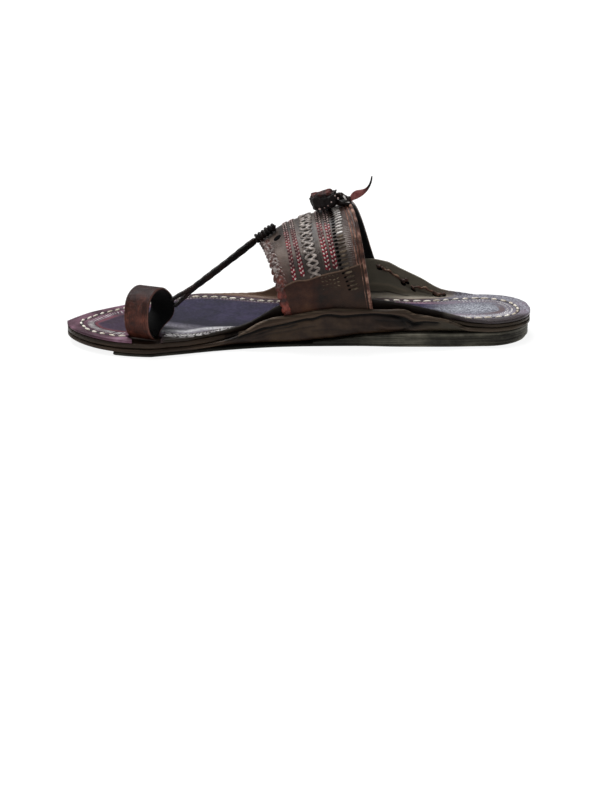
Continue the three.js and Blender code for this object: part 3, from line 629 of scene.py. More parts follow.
def insole_dye_and_painted_light(tree, colour, height, gloss):
    """Violet dye inside the tooled border, a red-brown line round it, a dark sewing channel. Painted
    light too: shade, sheen and highlights on the middle, beside the inner ear, at the heel, on the ears."""
    flat, inward = parts(tree, "flat"), parts(tree, "seam")["X"]
    x, y, marks = flat["X"], flat["Y"], flat["Z"]
    spot = add_node(tree, "TexCoord").outputs["Object"]
    grit = add_node(tree, "TexNoise", {"Scale": 900, "Detail": 2}, {"Vector": spot}).outputs["Fac"]
    cloud = add_node(tree, "TexNoise", {"Scale": 70, "Detail": 5, "Roughness": 0.7},
                     {"Vector": spot}).outputs["Fac"]
    ragged = add_node(tree, "Math", {"operation": "MULTIPLY_ADD", 1: 2.0}, {0: cloud, 2: inward}).outputs[0]
    toe_shift, heel_shift, glint_shift = (
        add_node(tree, "MapRange", {"From Min": start, "From Max": end, "To Min": first, "To Max": last},
                 {"Value": x}).outputs["Result"]
        for start, end, first, last in ((84, 102, 6.8, 0.0), (-66, -90, 0.0, -5.0), (38, 57, -1.2, -8.5)))
    for shift in (toe_shift, heel_shift):
        ragged = add_node(tree, "Math", {"operation": "ADD"}, {0: ragged, 1: shift}).outputs[0]
    glint_line = add_node(tree, "Math", {"operation": "ADD"}, {0: inward, 1: glint_shift}).outputs[0]
    glint_line, beside = (add_node(tree, "Math", {"operation": "ABSOLUTE"}, {0: socket}).outputs[0]
                     for socket in (glint_line, inward))
    ring, chain, heel_ring, channel = (
        add_node(tree, "Math", {"operation": "COMPARE", 1: middle, 2: half}, {0: socket}).outputs[0]
        for socket, middle, half in ((ragged, 10.0, 0.7), (inward, 0.2, 3.0), (inward, 9.6, 1.7),
                                     (inward, 0.0, 1.1)))
    shade_and_sheen_line = add_node(tree, "Math", {"operation": "MULTIPLY_ADD", 1: 0.378}, {0: x, 2: y}).outputs[0]
    violet = add_node(tree, "ValToRGB", {"stops": ((0.34, "090617"), (0.52, "170f2b"), (0.72, "2e2542"))},
                      {"Fac": cloud}).outputs["Color"]
    violet = layers(tree, violet, [("625d7c", (grit, 0.5, 0.75, 0.0, 0.5)),
                                   ("3f2230", (x, 92, 104, 0.0, 0.4))])
    dyed = add_node(tree, "MapRange", {"From Min": 10.4, "From Max": 12.6}, {"Value": ragged})
    colour = add_node(tree, "MixRGB", {}, {"Fac": dyed.outputs["Result"], "Color1": colour,
                                           "Color2": violet}).outputs["Color"]
    heel = ((x, -74, -96), (inward, -9.0, 0.0, 0.85, 1.0))
    outer = ((inward, -4.5, -8.0), (x, 80, 56), (x, -98, -84))
    colour = layers(tree, colour, [
        # The red-brown line, then brown towards the outer rim and dark hide beside the notch.
        ("6a2c36", (ring, 0, 1), (x, 88, 98, 0.0, 0.75)),
        ("2a2226", (x, 94, 80), (y, -6, -16), (inward, 5.0, 3.0, 0.0, 0.85)),
        ("221b15", (x, 88, 78), (y, 20, 34), (inward, 3.0, 1.0)),
        # Painted shade of deep violet over the middle up to a painted shadow line; painted silver
        # sheen beside the inner ear with a painted highlight along it; and the chain.
        ("0b0818", (shade_and_sheen_line, 16, 38, 0.0, 0.55), (shade_and_sheen_line, 45, 42), (x, 20, 36), (inward, 3.0, 7.0)),
        ("8f8b94", (shade_and_sheen_line, 42, 49), (x, 24, 36), (x, 98, 88), (inward, 0.5, 3.5),
         (grit, 0.38, 0.62, 0.35, 1.0), (shade_and_sheen_line, 46, 58, 0.6, 1.0)),
        ("e4e2e4", (glint_line, 3.4, 0.6), (x, 33, 40), (x, 90, 80), (y, 14, 22), (grit, 0.34, 0.6, 0.25, 1.0)),
        ("12110e", (chain, 0, 1), (x, 28, 38), (x, 80, 77), (y, 18, 24), (grit, 0.3, 0.6, 0.7, 0.95)),
        # The heel: painted grey sheen, a painted glint in the middle, a painted silver highlight on the
        # border, speckled silver sheen on the rim, a dark inner rim and a brown ring.
        ("76757f", *heel, (grit, 0.36, 0.62, 0.45, 1.0)),
        ("cdd2d8", *heel, (inward, 7.0, 17.0, 0.0, 0.75), (grit, 0.46, 0.68, 0.1, 1.0)),
        ("dfe2e6", (inward, 1.6, 3.4), (inward, 7.0, 4.6), (x, -78, -90), (y, 6, 14, 0.0, 0.6),
         (grit, 0.34, 0.6, 0.3, 1.0)),
        ("a9abb3", (x, -92, -108), (inward, -0.5, -2.5), (grit, 0.44, 0.66, 0.0, 0.7), (y, 22, 4, 0.25, 1.0)),
        ("2a211d", (x, -76, -90), (y, 10, 18), (inward, -0.8, -2.4, 0.0, 0.85)),
        ("5a4038", (heel_ring, 0, 1), (x, -106, -118), (y, -8, 2), (grit, 0.3, 0.6, 0.2, 0.8)),
        ("0a0708", (channel, 0, 1), (grit, 0.2, 0.5, 0.5, 0.85)),
        # The outer ear is plain hide: brown in front of the band, olive behind it; both ears low down behind
        # the band get a pale painted fill light.
        ("624938", *outer, (y, 0, -6)),
        ("6d6658", *outer, (x, 14, -30), (y, 0, -6)),
        ("a0988c", *outer, (inward, -16, -8), (x, -34, -50), (cloud, 0.35, 0.6, 0.4, 1.0)),
        # Painted shade: near-black on the inner ear's rim behind the band.
        ("150e0a", (inward, -2.0, -5.0), (x, 44, 30), (x, -98, -84), (y, 0, 6)),
        # Painted shade black in the outer ear's wrinkles, painted highlights pale on their ridges.
        ("070504", (marks, 0.15, 0.7, 0.0, 0.8)),
        ("9a8b76", (marks, -0.15, -0.6, 0.0, 0.6))])
    groove = add_node(tree, "MapRange", {"From Min": 0.0, "From Max": 1.5, "To Min": -0.35, "To Max": 0.0},
                      {"Value": beside})
    pressed = add_node(tree, "Math", {"operation": "ADD"}, {0: height, 1: groove.outputs["Result"]})
    return colour, pressed.outputs[0], gloss


# Aniline-dyed hide, burnished: deep violet and purple-brown under a soft polish.
dyed_hide = leather("violet_dyed_hide", ("3c222e", "684756", "98778a"), 26, (0.34, 0.55), 0.9, 0.05,
                    pattern=insole_dye_and_painted_light, shine=0.16)
sole_insole = sole_placer("insole", 0.8, shape_insole)
bm = two_faces(240, 104, place_insole, cut_notch)
make_piece("insole_hide", bm, dyed_hide, "insole_leather", "insole")

# Insole sewing: a running stitch of cream waxed thong all round, 4.6 mm of it showing in each
# 6.2 mm. It lies in a dark channel, and gives way to tooling along the inner side.


def insole_top(x, y):
    """Height of the insole's upper face, on its flat part."""
    side = 1 if y >= (edge(x, 1) + edge(x, -1)) / 2 else -1
    return fold_point(fold(round(x, 1), side, "insole"), side * y, INSOLE_THICK)[1]


@lru_cache(maxsize=None)
def ball(sides, rings):
    bm = bmesh.new()
    bmesh.ops.create_uvsphere(bm, u_segments=sides, v_segments=rings, radius=1)
    mesh = bpy.data.meshes.new("ball")
    bm.to_mesh(mesh)
    bm.free()
    return mesh


def bead(bm, spot, size, sides=8, rings=5):
    """One stitch or dot: a ball stretched to size, put and turned by the matrix spot."""
    shape = ball(sides, rings).copy()
    shape.transform(spot @ Matrix.Diagonal((*size, 1)))
    bm.from_mesh(shape)
    bpy.data.meshes.remove(shape)


def on_insole(index, inward, turn, raise_by):
    """Matrix of a mark beside the stitch line: inward mm from it and turned in plan."""
    here = stitch_run[index % len(stitch_run)]
    ahead = (stitch_run[(index + 2) % len(stitch_run)] - stitch_run[index - 2]).normalized()
    spot = here + Vector((ahead.y, -ahead.x)) * -inward
    if not inside(stitch_loop, *(here + Vector((ahead.y, -ahead.x)) * -1.5)):
        spot = here + Vector((ahead.y, -ahead.x)) * inward
    angle = math.atan2(ahead.y, ahead.x) + turn
    place = Vector((spot.x, spot.y, insole_top(spot.x, spot.y) + raise_by))
    return Matrix.Translation(place) @ Matrix.Rotation(angle, 4, "Z")


def clear_of_notch(matrix):
    x, y = matrix.translation.x, matrix.translation.y
    return not (77.5 < x < 103.5 and y > 28)


def round_the_line(pitch):
    """Numbers of the stitch line's points at each pitch along it."""
    travel = due = 0.0
    for i in range(len(stitch_run)):
        travel += (stitch_run[i] - stitch_run[i - 1]).length if i else 0.0
        if travel >= due:
            due += pitch
            yield i


# Waxed leather thong, undyed: cream, a little grimy, with a soft waxy shine.
waxed_thong = leather("cream_waxed_thong", ("b9ad9b", "ded5c6", "f4eee4"), 9, (0.4, 0.6), 0.5, 0.03)
bm = bmesh.new()
STITCH_PITCH, STITCH_HALF = 6.2, 2.3
for i in round_the_line(STITCH_PITCH):
    spot = on_insole(i, 0.3 * math.sin(2.3 * i), 0.12 * math.sin(i), 0.1)
    if clear_of_notch(spot) and not (28 < spot.translation.x < 80 and spot.translation.y > 20):
        bead(bm, spot, (STITCH_HALF + 0.4 * math.sin(3.1 * i), 0.88 + 0.12 * math.sin(1.7 * i), 0.75))
make_piece("insole_stitches", bm, waxed_thong, "insole_leather")

# Border tooling: slanted strokes round the toe, crossed strokes with a dot in each diamond along
# the inner side, small dots along the outer side and round the heel, all rubbed with silver.

# Tooled hide rubbed with silver paint: pale grey raised marks that catch the light.
silver_rub = leather("silver_rubbed_tooling", ("8d8588", "bdb8b8", "e6e4e2"), 12, (0.3, 0.5), 0.6, 0.03)
bm = bmesh.new()
TOOLING_PITCH = 2.3
for count, i in enumerate(round_the_line(TOOLING_PITCH)):
    x, y = stitch_run[i]
    if x > 103:
        marks = ((5.2, 1.15, 3.1, 0.36),)
    elif 30 < x < 80 and y > 20:
        cross = ((0.2, 0.85, 3.3, 0.42), (0.2, -0.85, 3.3, 0.42), (3.4, 0.0, 1.5, 0.3), (-3.2, 0.0, 2.3, 0.3))
        marks = cross if count % 2 else ((0.2, 0.0, 0.95, 0.8),)
    elif x < -96:
        marks = ((3.6, 0.0, 0.85, 0.6), (6.2, 0.9, 1.1, 0.3))
    else:
        marks = ((2.4, 0.3, 0.7, 0.32),)
    for inward, turn, long, wide in marks:
        spot = on_insole(i, inward, turn, 0.02)
        if clear_of_notch(spot):
            bead(bm, spot, (long, wide, 0.2), 6, 4)
bead(bm, Matrix.Translation((76.0, 41.5, insole_top(76.0, 41.5))), (1.5, 1.3, 0.4), 12, 5)
make_piece("insole_border_tooling", bm, silver_rub, "insole_leather")

# Laces of the outer ear: two thin brown laces that tie the ear to the band's hidden end. They
# come out of slits, lie on the ear's inner face and end in small flat knots.
EAR_LACES = (
    ((-47.5, 3.2), (-49.8, 4.6), (-53.3, 5.5), (-57.5, 6.1), (-61, 6.6), (-63.8, 7.0), (-65.8, 6.6),
     (-67.2, 4.6)),
    ((-69.5, 8.4), (-73.5, 6.8), (-77.7, 5.1), (-81.2, 4.5), (-85.4, 4.8), (-87.4, 5.6), (-89.6, 3.0)))
EAR_KNOTS = ((-49.3, 4.2, 1.7, 0.9), (-64.0, 7.4, 1.6, 1.3), (-66.2, 5.6, 1.5, 1.1), (-70.2, 8.4, 1.6, 0.9),
             (-84.5, 5.2, 2.4, 1.2), (-89.4, 3.2, 1.2, 0.8))


def on_outer_ear(x, back, lift):
    """Point over the inner face of the outer ear, back mm from its rim."""
    half = fold(round(x, 1), -1, "insole")
    y, z = fold_point(half, half["end"] - back, INSOLE_THICK + lift)
    return Vector((x, -y, z))


def strand(bm, points, radius, sides=8, flatness=1.0, normals=None):
    """A thong through points, rounded at both ends: a grid rolled up along its length."""
    count = len(points) - 1
    tangents = [(points[min(i + 1, count)] - points[max(i - 1, 0)]).normalized() for i in range(count + 1)]
    if normals is None:
        normal = tangents[0].orthogonal().normalized()
        normals = []
        for tangent in tangents:
            normal = (normal - tangent * normal.dot(tangent)).normalized()
            normals.append(normal)
    verts = bmesh.ops.create_grid(bm, x_segments=count, y_segments=sides, size=1)["verts"]
    for v in verts:
        i = round((v.co.x + 1) / 2 * count)
        angle = math.pi * v.co.y
        r = radius[i] if isinstance(radius, (list, tuple)) else radius
        side = tangents[i].cross(normals[i]).normalized()
        r *= 0.02 if i in (0, count) else 0.7 if i in (1, count - 1) else 1.0
        v.co = points[i] + side * r * math.cos(angle) + normals[i] * r * flatness * math.sin(angle)
    bmesh.ops.remove_doubles(bm, verts=verts, dist=0.005)
    return verts


# Thin cut hide, worn: brown with pale rubbed spots, glossy on its turns.
lace_hide = leather("thin_brown_lace", ("2e1c15", "5c4032", "94765f"), 5, (0.32, 0.5), 0.6, 0.04, shine=0.3)
laces, slots = bmesh.new(), bmesh.new()
for line in EAR_LACES:
    run = spline(line, 0.8)
    strand(laces, [on_outer_ear(p.x, p.y + 0.35 * math.sin(0.9 * i), 0.75 + 0.3 * math.sin(1.3 * i))
                   for i, p in enumerate(run)], [0.72 + 0.16 * math.sin(1.1 * i) for i in range(len(run))], 8)
for x, back, long, wide in EAR_KNOTS:
    across = (on_outer_ear(x, back + 0.5, 0) - on_outer_ear(x, back - 0.5, 0)).normalized()
    ahead = (on_outer_ear(x + 0.5, back, 0) - on_outer_ear(x - 0.5, back, 0)).normalized()
    up = ahead.cross(across).normalized()
    spot = Matrix((ahead, across, up)).transposed().to_4x4()
    spot.translation = on_outer_ear(x, back, 0.7)
    bead(laces, spot @ Matrix.Rotation(0.6 * math.sin(x), 4, "Z"), (long, wide, 0.9), 10, 6)
    spot.translation = on_outer_ear(x - 0.4, back + 1.4, 0.35)
    bead(slots, spot, (long * 1.15, wide * 1.0, 0.3), 10, 4)
make_piece("outer_ear_laces", laces, lace_hide, "insole_leather")
# Painted shade: black, dull patches laid in the slits, so each slit reads as a hole.
hole_shade = leather("slit_hole_painted_shade", ("010101", "020202", "040303"), 10, (0.85, 0.95), 0.8, 0.0,
                    shine=0.05)
make_piece("outer_ear_slits", slots, hole_shade, "insole_leather")

# Instep band: the sandal's upper, one strap of grey-brown hide over the instep, 2.2 mm thick. Its
# ends stand between the ears and are sewn through them; the front edge is plaited.
BAND_WALL, BAND_TUCK, BAND_SPRINGING = 2.2, 8.5, 2.0
BAND_FULLNESS, BAND_RIM_FRACTION = 0.6, 0.78
BAND_LAG = {1: 1.0, -1: 1.4}
BAND_WIDTH = 59.4
RIB_PITCH = 1.2083  # mm between the fine ribs behind the lacing
BAND_CROWN = (  # v, x, z, then how far a section trails backwards at the inner and outer foot
    (0.0, 24.2, 55.8, 18.5, 26.0), (0.16, 17.5, 60.5, 17.8, 25.5), (0.33, 9.5, 65.5, 17.0, 25.0),
    (0.5, 0.5, 69.2, 16.2, 24.5), (0.72, -13.5, 73.9, 15.2, 24.0), (1.0, -30.5, 79.0, 14.0, 23.5))


def pocket(x, z, side):
    """Y of the middle of the space between the ears, at x and height z."""
    angle = fold_angle(x, side)
    centre = (OUTSOLE_THICK + insole_under(x) - outsole_under(x)) / 2
    bend_top = outsole_under(x) + OUTSOLE_BEND * (1 - math.cos(angle))
    face = abs(edge(x, side)) + (z - bend_top) / math.tan(angle)
    return side * (face - centre / math.sin(angle))


@lru_cache(maxsize=None)
def band_section(v):
    """Points of one section from the outer foot over the crown to the inner foot, as
    (distance from the crown, x, y, z), distances on the outer side being negative."""
    crown_x, crown_z = along(BAND_CROWN, v, 1), along(BAND_CROWN, v, 2)
    peak = crown_z - BAND_WALL / 2
    feet = {}
    for side in (1, -1):
        trail = along(BAND_CROWN, v, 3 if side > 0 else 4)
        low_x = crown_x - trail
        low_z = outsole_under(low_x) + BAND_TUCK
        high_x = crown_x - BAND_RIM_FRACTION * trail
        high_z = insole_under(high_x) + ear("insole", high_x, side) + BAND_SPRINGING
        feet[side] = (trail, Vector((pocket(low_x, low_z, side), low_z)),
                      Vector((pocket(high_x, high_z, side), high_z)))
    top = Vector(((feet[1][2].x + feet[-1][2].x) / 2, peak))
    halves = {}
    for side, (trail, low, high) in feet.items():
        lead = high + (high - low).normalized() * BAND_FULLNESS * (peak - high.y)
        level = Vector((top.x + BAND_FULLNESS * (high.x - top.x), peak))
        line = [low, low.lerp(high, 0.5)]
        for i in range(49):
            t = i / 48
            line.append(high * (1 - t) ** 3 + lead * 3 * t * (1 - t) ** 2
                        + level * 3 * t * t * (1 - t) + top * t ** 3)
        runs = [0.0]
        for a, b in zip(line, line[1:]):
            runs.append(runs[-1] + (b - a).length)
        total = runs[-1]
        lag = BAND_LAG[side]
        halves[side] = [(side * (total - run), crown_x - trail * (1 - run / total) ** lag, p.x, p.y)
                        for p, run in zip(line, runs)]
    return halves[-1] + halves[1][::-1][1:]


def band_middle(v, d):
    """Point of the band's middle surface at v across its width and d mm from the crown."""
    low, high = (band_section(round(k, 4)) for k in (math.floor(v * 80) / 80, math.ceil(v * 80) / 80))
    share = v * 80 - math.floor(v * 80)
    spots = []
    for rows in (low, high):
        first, last = 0, len(rows) - 1
        while last - first > 1:
            half = (first + last) // 2
            if rows[half][0] <= d:
                first = half
            else:
                last = half
        a, b = rows[first], rows[last]
        spots.append(Vector(a[1:]).lerp(Vector(b[1:]), (d - a[0]) / (b[0] - a[0])))
    return spots[0].lerp(spots[1], share)


def band_reach(v, side):
    rows = band_section(round(round(v * 80) / 80, 4))
    return abs(rows[-1 if side > 0 else 0][0])


@lru_cache(maxsize=None)
def band_frame(v, d):
    """Matrix on the band's outer face: x along the band, y towards its rear edge, z outwards."""
    inner_v = min(max(v, 0.004), 0.996)
    down = band_middle(inner_v, d + 0.4) - band_middle(inner_v, d - 0.4)
    back = band_middle(min(inner_v + 0.01, 1), d) - band_middle(max(inner_v - 0.01, 0), d)
    up = down.cross(back).normalized()
    if up.dot(band_middle(inner_v, d) - Vector((-8, -4, 22))) < 0:
        up = -up
    down.normalize()
    side = up.cross(down).normalized()
    if side.dot(back) < 0:
        side = -side
        up = down.cross(side)
    here = band_middle(inner_v, d) + back.normalized() * (v - inner_v) * BAND_WIDTH
    spot = Matrix((down, side, up)).transposed().to_4x4()
    spot.translation = here + up * BAND_WALL / 2
    return spot


def band_spot(v, d, lift=0.0, turn=0.0):
    return band_frame(v, d) @ Matrix.Translation((0, 0, lift)) @ Matrix.Rotation(turn, 4, "Z")


def band_sheet(columns, rows, v_at, d_at, under, top, rim_radius):
    """A leather sheet on the band, between two heights over its outer face."""
    def place(u, w, face):
        v = v_at(u)
        d = d_at(v, w)
        ends = [d_at(v, -1), d_at(v, 1)]
        to_edge = min(abs(v - v_at(0)) * BAND_WIDTH, abs(v_at(1) - v) * BAND_WIDTH,
                      abs(d - ends[0]), abs(ends[1] - d))
        fall = rounding(to_edge, rim_radius)
        spot = band_spot(v, d, top - fall if face else under + fall)
        return spot.translation, (v * BAND_WIDTH, d, face), (to_edge, min(abs(d - end) for end in ends), face)

    return two_faces(columns, rows, place)


def band_tone_and_painted_light(tree, colour, height, gloss):
    """Grey-brown front strip at the crown, a painted sheen, and the hide's red-brown lower down; a painted
    shadow under the crossed lacing; ribs behind the lacing; painted shade, black, over the inside face."""
    flat = parts(tree, "flat")
    low = add_node(tree, "Math", {"operation": "ABSOLUTE"}, {0: flat["Y"]}).outputs[0]
    lacing_shadow, rear = (add_node(tree, "Math", {"operation": "COMPARE", 1: middle, 2: half},
                            {0: flat["X"]}).outputs[0] for middle, half in ((31.0, 4.3), (53.2, 3.4)))
    inside_face = add_node(tree, "Math", {"operation": "LESS_THAN", 1: 0.5}, {0: flat["Z"]}).outputs[0]
    colour = layers(tree, colour, [
        ("4a2219", (flat["X"], 14, 4), (low, 18, 50)),
        # Painted shadow of the crossed lacing.
        ("17110f", (lacing_shadow, 0, 1, 0.0, 0.6)),
        ("3a1e13", (flat["X"], 51, 53, 0.0, 0.75)),
        # Painted shade: black over the inside face.
        ("050404", (inside_face, 0, 1))])
    turn = add_node(tree, "Math", {"operation": "MULTIPLY", 1: 2 * math.pi / RIB_PITCH}, {0: flat["Y"]})
    rib = add_node(tree, "Math", {"operation": "SINE"}, {0: turn.outputs[0]})
    ribs = add_node(tree, "Math", {"operation": "MULTIPLY"}, {0: rib.outputs[0], 1: rear})
    ribbed = add_node(tree, "Math", {"operation": "MULTIPLY_ADD", 1: 0.1}, {0: ribs.outputs[0], 2: height})
    matt = add_node(tree, "Math", {"operation": "MULTIPLY_ADD", 1: 0.6}, {0: inside_face, 2: gloss})
    return colour, ribbed.outputs[0], matt.outputs[0]


# Vegetable-tanned strap hide: grey-brown, glossy along the crown.
strap_hide = leather("grey_brown_strap_hide", ("271e19", "43362f", "65574e"), 14, (0.28, 0.5), 1.0, 0.06,
                     pattern=band_tone_and_painted_light, shine=0.3)


def spread(u):
    """Rows of points lie closer together towards both edges of a sheet."""
    return 0.6 * u + 0.4 * (0.5 - 0.5 * math.cos(math.pi * u))


bm = band_sheet(84, 190, spread, lambda v, w: w * band_reach(v, 1 if w > 0 else -1),
                -BAND_WALL, 0.0, 0.9)
make_piece("instep_band_hide", bm, strap_hide, "band_leather", "instep_band")

# Lower panels: a second, plain dark hide sewn over each end of the band, 0.7 mm proud. The upper
# edge is pared and paler, and stays clear of the plaited front edge.
PANEL_TOP = ((0.14, 47.0), (0.25, 47.5), (0.42, 49.5), (0.55, 49.0), (0.75, 48.5), (0.95, 46.5), (1.0, 46.0))


def panel_wear(tree, colour, height, gloss):
    """Olive towards the rear, with a pale pared line along the panel's upper edge."""
    colour = layers(tree, colour, [("221c16", (parts(tree, "flat")["X"], 26, 40, 0.0, 0.6)),
                                   ("7d6656", (parts(tree, "seam")["Y"], 0.4, 1.0, 0.7, 0.0))])
    return colour, height, gloss


# Plain dark-dyed hide: near-black brown with soft pores and little shine.
panel_hide = leather("dark_panel_hide", ("160b08", "311a12", "452b1d"), 18, (0.34, 0.55), 1.2, 0.1,
                     pattern=panel_wear)
for side, label in ((1, "inner"), (-1, "outer")):
    bm = band_sheet(56, 34, lambda u: 0.09 + 0.89 * spread(u),
                    lambda v, w: side * (along(PANEL_TOP, v, 1) * (1 - w) / 2
                                         + (band_reach(v, side) - 0.5) * (1 + w) / 2),
                    -0.3, 0.75, 0.6)
    make_piece("band_panel_" + label, bm, panel_hide, "band_leather")

# Braids on the band: four rows of flat braid, two by two, each 3 mm wide, laid from panel to
# panel over the crown. Red, near-black and cream thongs alternate, so cream shows as small specks.
BRAIDS = (  # place across the band at 0, 28 and 50 mm from the crown
    ((0, 0.335), (28, 0.283), (50, 0.25)), ((0, 0.412), (28, 0.367), (50, 0.362)),
    ((0, 0.668), (28, 0.633), (50, 0.633)), ((0, 0.738), (28, 0.703), (50, 0.70)))
BRAID_END, BRAID_PITCH = 47.0, 1.2
# Dyed thongs, all softly polished: dark red for the turns, near-black for those over the crown, and
# dusty cream for the specks between.
red_thong = leather("red_dyed_thong", ("2c0810", "621220", "922a38"), 6, (0.35, 0.5), 0.5, 0.03)
dark_thong = leather("dark_braid_thong", ("0e0808", "1f1212", "33201e"), 6, (0.35, 0.5), 0.5, 0.03)
cream_thong = leather("cream_braid_thong", ("7d6460", "b39c96", "ddcdc6"), 6, (0.35, 0.5), 0.5, 0.03)
red_mesh, cream_mesh, dark_mesh = bmesh.new(), bmesh.new(), bmesh.new()
for row, line in enumerate(BRAIDS):
    d = -BRAID_END
    count = 0
    while d < BRAID_END + 0.5:
        v = along(line, abs(d), 1)
        over_crown = abs(d) < 11 + 2 * row
        for hand in (-1, 1):
            spot = band_spot(v + hand * 0.75 / BAND_WIDTH, d + 0.3 * hand, 0.12, -hand * 0.6)
            if (count + (hand > 0)) % 2:
                bead(cream_mesh, spot @ Matrix.Translation((0, 0, 0.1)), (0.78, 0.5, 0.42), 8, 5)
            else:
                bead(dark_mesh if over_crown else red_mesh, spot, (1.2, 0.7, 0.42), 8, 5)
        d += BRAID_PITCH
        count += 1
make_piece("band_braid_dark", dark_mesh, dark_thong, "band_leather")
make_piece("band_braid_red", red_mesh, red_thong, "band_leather")
make_piece("band_braid_cream", cream_mesh, cream_thong, "band_leather")

# Crossed lacing in the middle of the band: two flat thongs that cross every 3.8 mm, 7 mm wide in
# all. They run from panel to panel over the crown, above and below each other by turns.
LACING_END, CROSS_PITCH, CROSS_SWING = 49.5, 3.8, 2.9
CROSSING = ((0, 0.56), (32, 0.492), (50, 0.50))
# Thong hide rubbed to a grey polish: mottled, with small bright glints where it crosses.
crossing_hide = leather("worn_lacing_thong", ("453a34", "7d716a", "bdb2aa"), 3, (0.25, 0.42), 0.6, 0.05,
                        shine=0.5)
bm = bmesh.new()
for hand in (-1, 1):
    points, normals = [], []
    for i in range(199):
        d = -LACING_END + i * 0.5
        phase = math.pi * d / CROSS_PITCH
        swing = math.cos(phase) + 0.12 * math.cos(3 * phase)
        v = along(CROSSING, abs(d), 1) + hand * CROSS_SWING * swing / BAND_WIDTH
        spot = band_spot(v, d, 0.3 + 0.3 * hand * math.sin(2 * phase))
        points.append(spot.translation)
        normals.append(spot.col[2].xyz)
    strand(bm, points, 0.78, 6, 0.62, normals)
make_piece("band_crossed_lacing", bm, crossing_hide, "band_leather")

# Slit lacing near the rear edge: a thong drawn through punched slits every 2.4 mm, each turn lying
# across the band for 5 mm, pale with painted sheen over the crown, dull lower down, where it holds
# the panel too. The panel beside it has four rows of small stamped arcs. Slits and eyelet: painted shade.
SLIT_PITCH, PANEL_EDGE, PANEL_RISE, SHEEN_END = 2.4, 46.5, 0.7, 27
SLITS = ((0, 0.79), (11, 0.783), (31, 0.75), (46, 0.75), (54, 0.783), (72, 0.83))
# Two copies of one thong: pale and glossy over the crown as painted sheen, brown and dull below.
pale_glossy_thong = leather("pale_glossy_grey_thong", ("857d76", "b8b1ab", "f0ece8"), 4, (0.22, 0.36), 0.6, 0.02,
                         shine=0.6)
dull_thong = leather("dull_brown_thong", ("2a2119", "453a2e", "6b5d4c"), 5, (0.35, 0.5), 0.6, 0.04)
bars, low_bars, slits = bmesh.new(), bmesh.new(), bmesh.new()
for i in range(-25, 26):
    d = i * SLIT_PITCH
    v = along(SLITS, abs(d), 1)
    over_panel = PANEL_RISE if abs(d) > PANEL_EDGE else 0.0
    bead(low_bars if abs(d) > SHEEN_END else bars,
         band_spot(v + 3.1 / BAND_WIDTH, d, 0.12 + over_panel, math.pi / 2 + 0.12),
         (2.4 + 0.3 * math.sin(2.1 * i), 0.72, 0.45), 8, 6)
    bead(slits, band_spot(v, d, 0.12 + over_panel, math.pi / 2 + 0.2),
         (0.95, 0.6, 0.2) if over_panel else (1.3, 0.82, 0.2), 8, 4)
for column in range(5):
    for row in range(4):
        v, d = 0.56 + 0.036 * column, 50.6 + 2.1 * row + 0.5 * math.sin(3 * column)
        for sign in (-1, 1):
            bead(low_bars, band_spot(v, sign * d, 0.62, math.pi / 2 + 0.5 * math.cos(2.0 * row + column)),
                 (1.1, 0.36, 0.34), 6, 4)
bead(slits, band_spot(0.2, 12.6, 0.12), (2.3, 2.6, 0.2), 16, 6)
make_piece("band_slit_lacing", bars, pale_glossy_thong, "band_leather")
make_piece("band_low_lacing", low_bars, dull_thong, "band_leather")
make_piece("band_slits", slits, hole_shade, "band_leather")

# Rear welt of the band: a red-brown cord of rolled leather sewn along its rear edge, with two
# thinner cords before it.

# Rolled hide, dyed red-brown: pale and dusty on the ridges, with open pores.
welt_hide = leather("red_brown_welt", ("33211b", "644439", "a57f6f"), 5, (0.35, 0.5), 0.8, 0.07)
bm = bmesh.new()
for v, thick, lift in ((0.985, 1.05, 0.1), (0.948, 0.6, 0.2), (0.918, 0.45, 0.1)):
    points = []
    for i in range(121):
        w = -1 + i / 60
        points.append(band_spot(v, w * (band_reach(v, 1 if w > 0 else -1) - 0.6), lift).translation)
    strand(bm, points, thick, 8)
make_piece("band_rear_welt", bm, welt_hide, "band_leather")

# Plaited front edge: two rows of broad red-brown leather turns, about 4 mm apart, that lap over
# each other and round the band's front edge, so its outline is scalloped.


def plait_painted_sheen(tree, colour, height, gloss):
    """Painted sheen and glints: grey with pale flecks from 34 to 50 mm up the edge."""
    z = parts(tree, "Object")["Z"]
    glints = add_node(tree, "TexNoise", {"Scale": 650, "Detail": 1},
                      {"Vector": add_node(tree, "TexCoord").outputs["Object"]}).outputs["Fac"]
    high = (z, 0.034, 0.05, 0.0, 0.75)
    return layers(tree, colour, [("3f3430", high), ("a39a95", (glints, 0.5, 0.62), high)]), height, gloss


# Broad dyed thong: deep red-brown and polished; the grey on its upper part is painted sheen.
plait_hide = leather("plaited_edge_hide", ("2a0e0a", "56251d", "864236"), 7, (0.3, 0.46), 1.0, 0.08,
                     pattern=plait_painted_sheen, shine=0.25)
bm = bmesh.new()
PLAIT_WIDTH = ((0, 4.6), (30, 5.4), (45, 7.0), (70, 7.6))
for sign in (-1, 1):
    d = 5.0
    while d < 68:
        wide = along(PLAIT_WIDTH, d, 1)
        bead(bm, band_spot(0.26 * wide / BAND_WIDTH, sign * d, -0.25, sign * -0.55),
             (0.56 * wide, 2.2, 1.1), 14, 8)
        bead(bm, band_spot(0.84 * wide / BAND_WIDTH, sign * (d + 2.2), -0.25, sign * 0.62),
             (0.48 * wide, 1.5, 0.85), 12, 8)
        bead(bm, band_spot(1.14 * wide / BAND_WIDTH, sign * (d + 0.6), -0.05, sign * 0.7),
             (0.24 * wide, 0.45, 0.5), 8, 5)
        d += 3.6 if d < 26 else 4.6
make_piece("band_plaited_edge", bm, plait_hide, "band_leather")

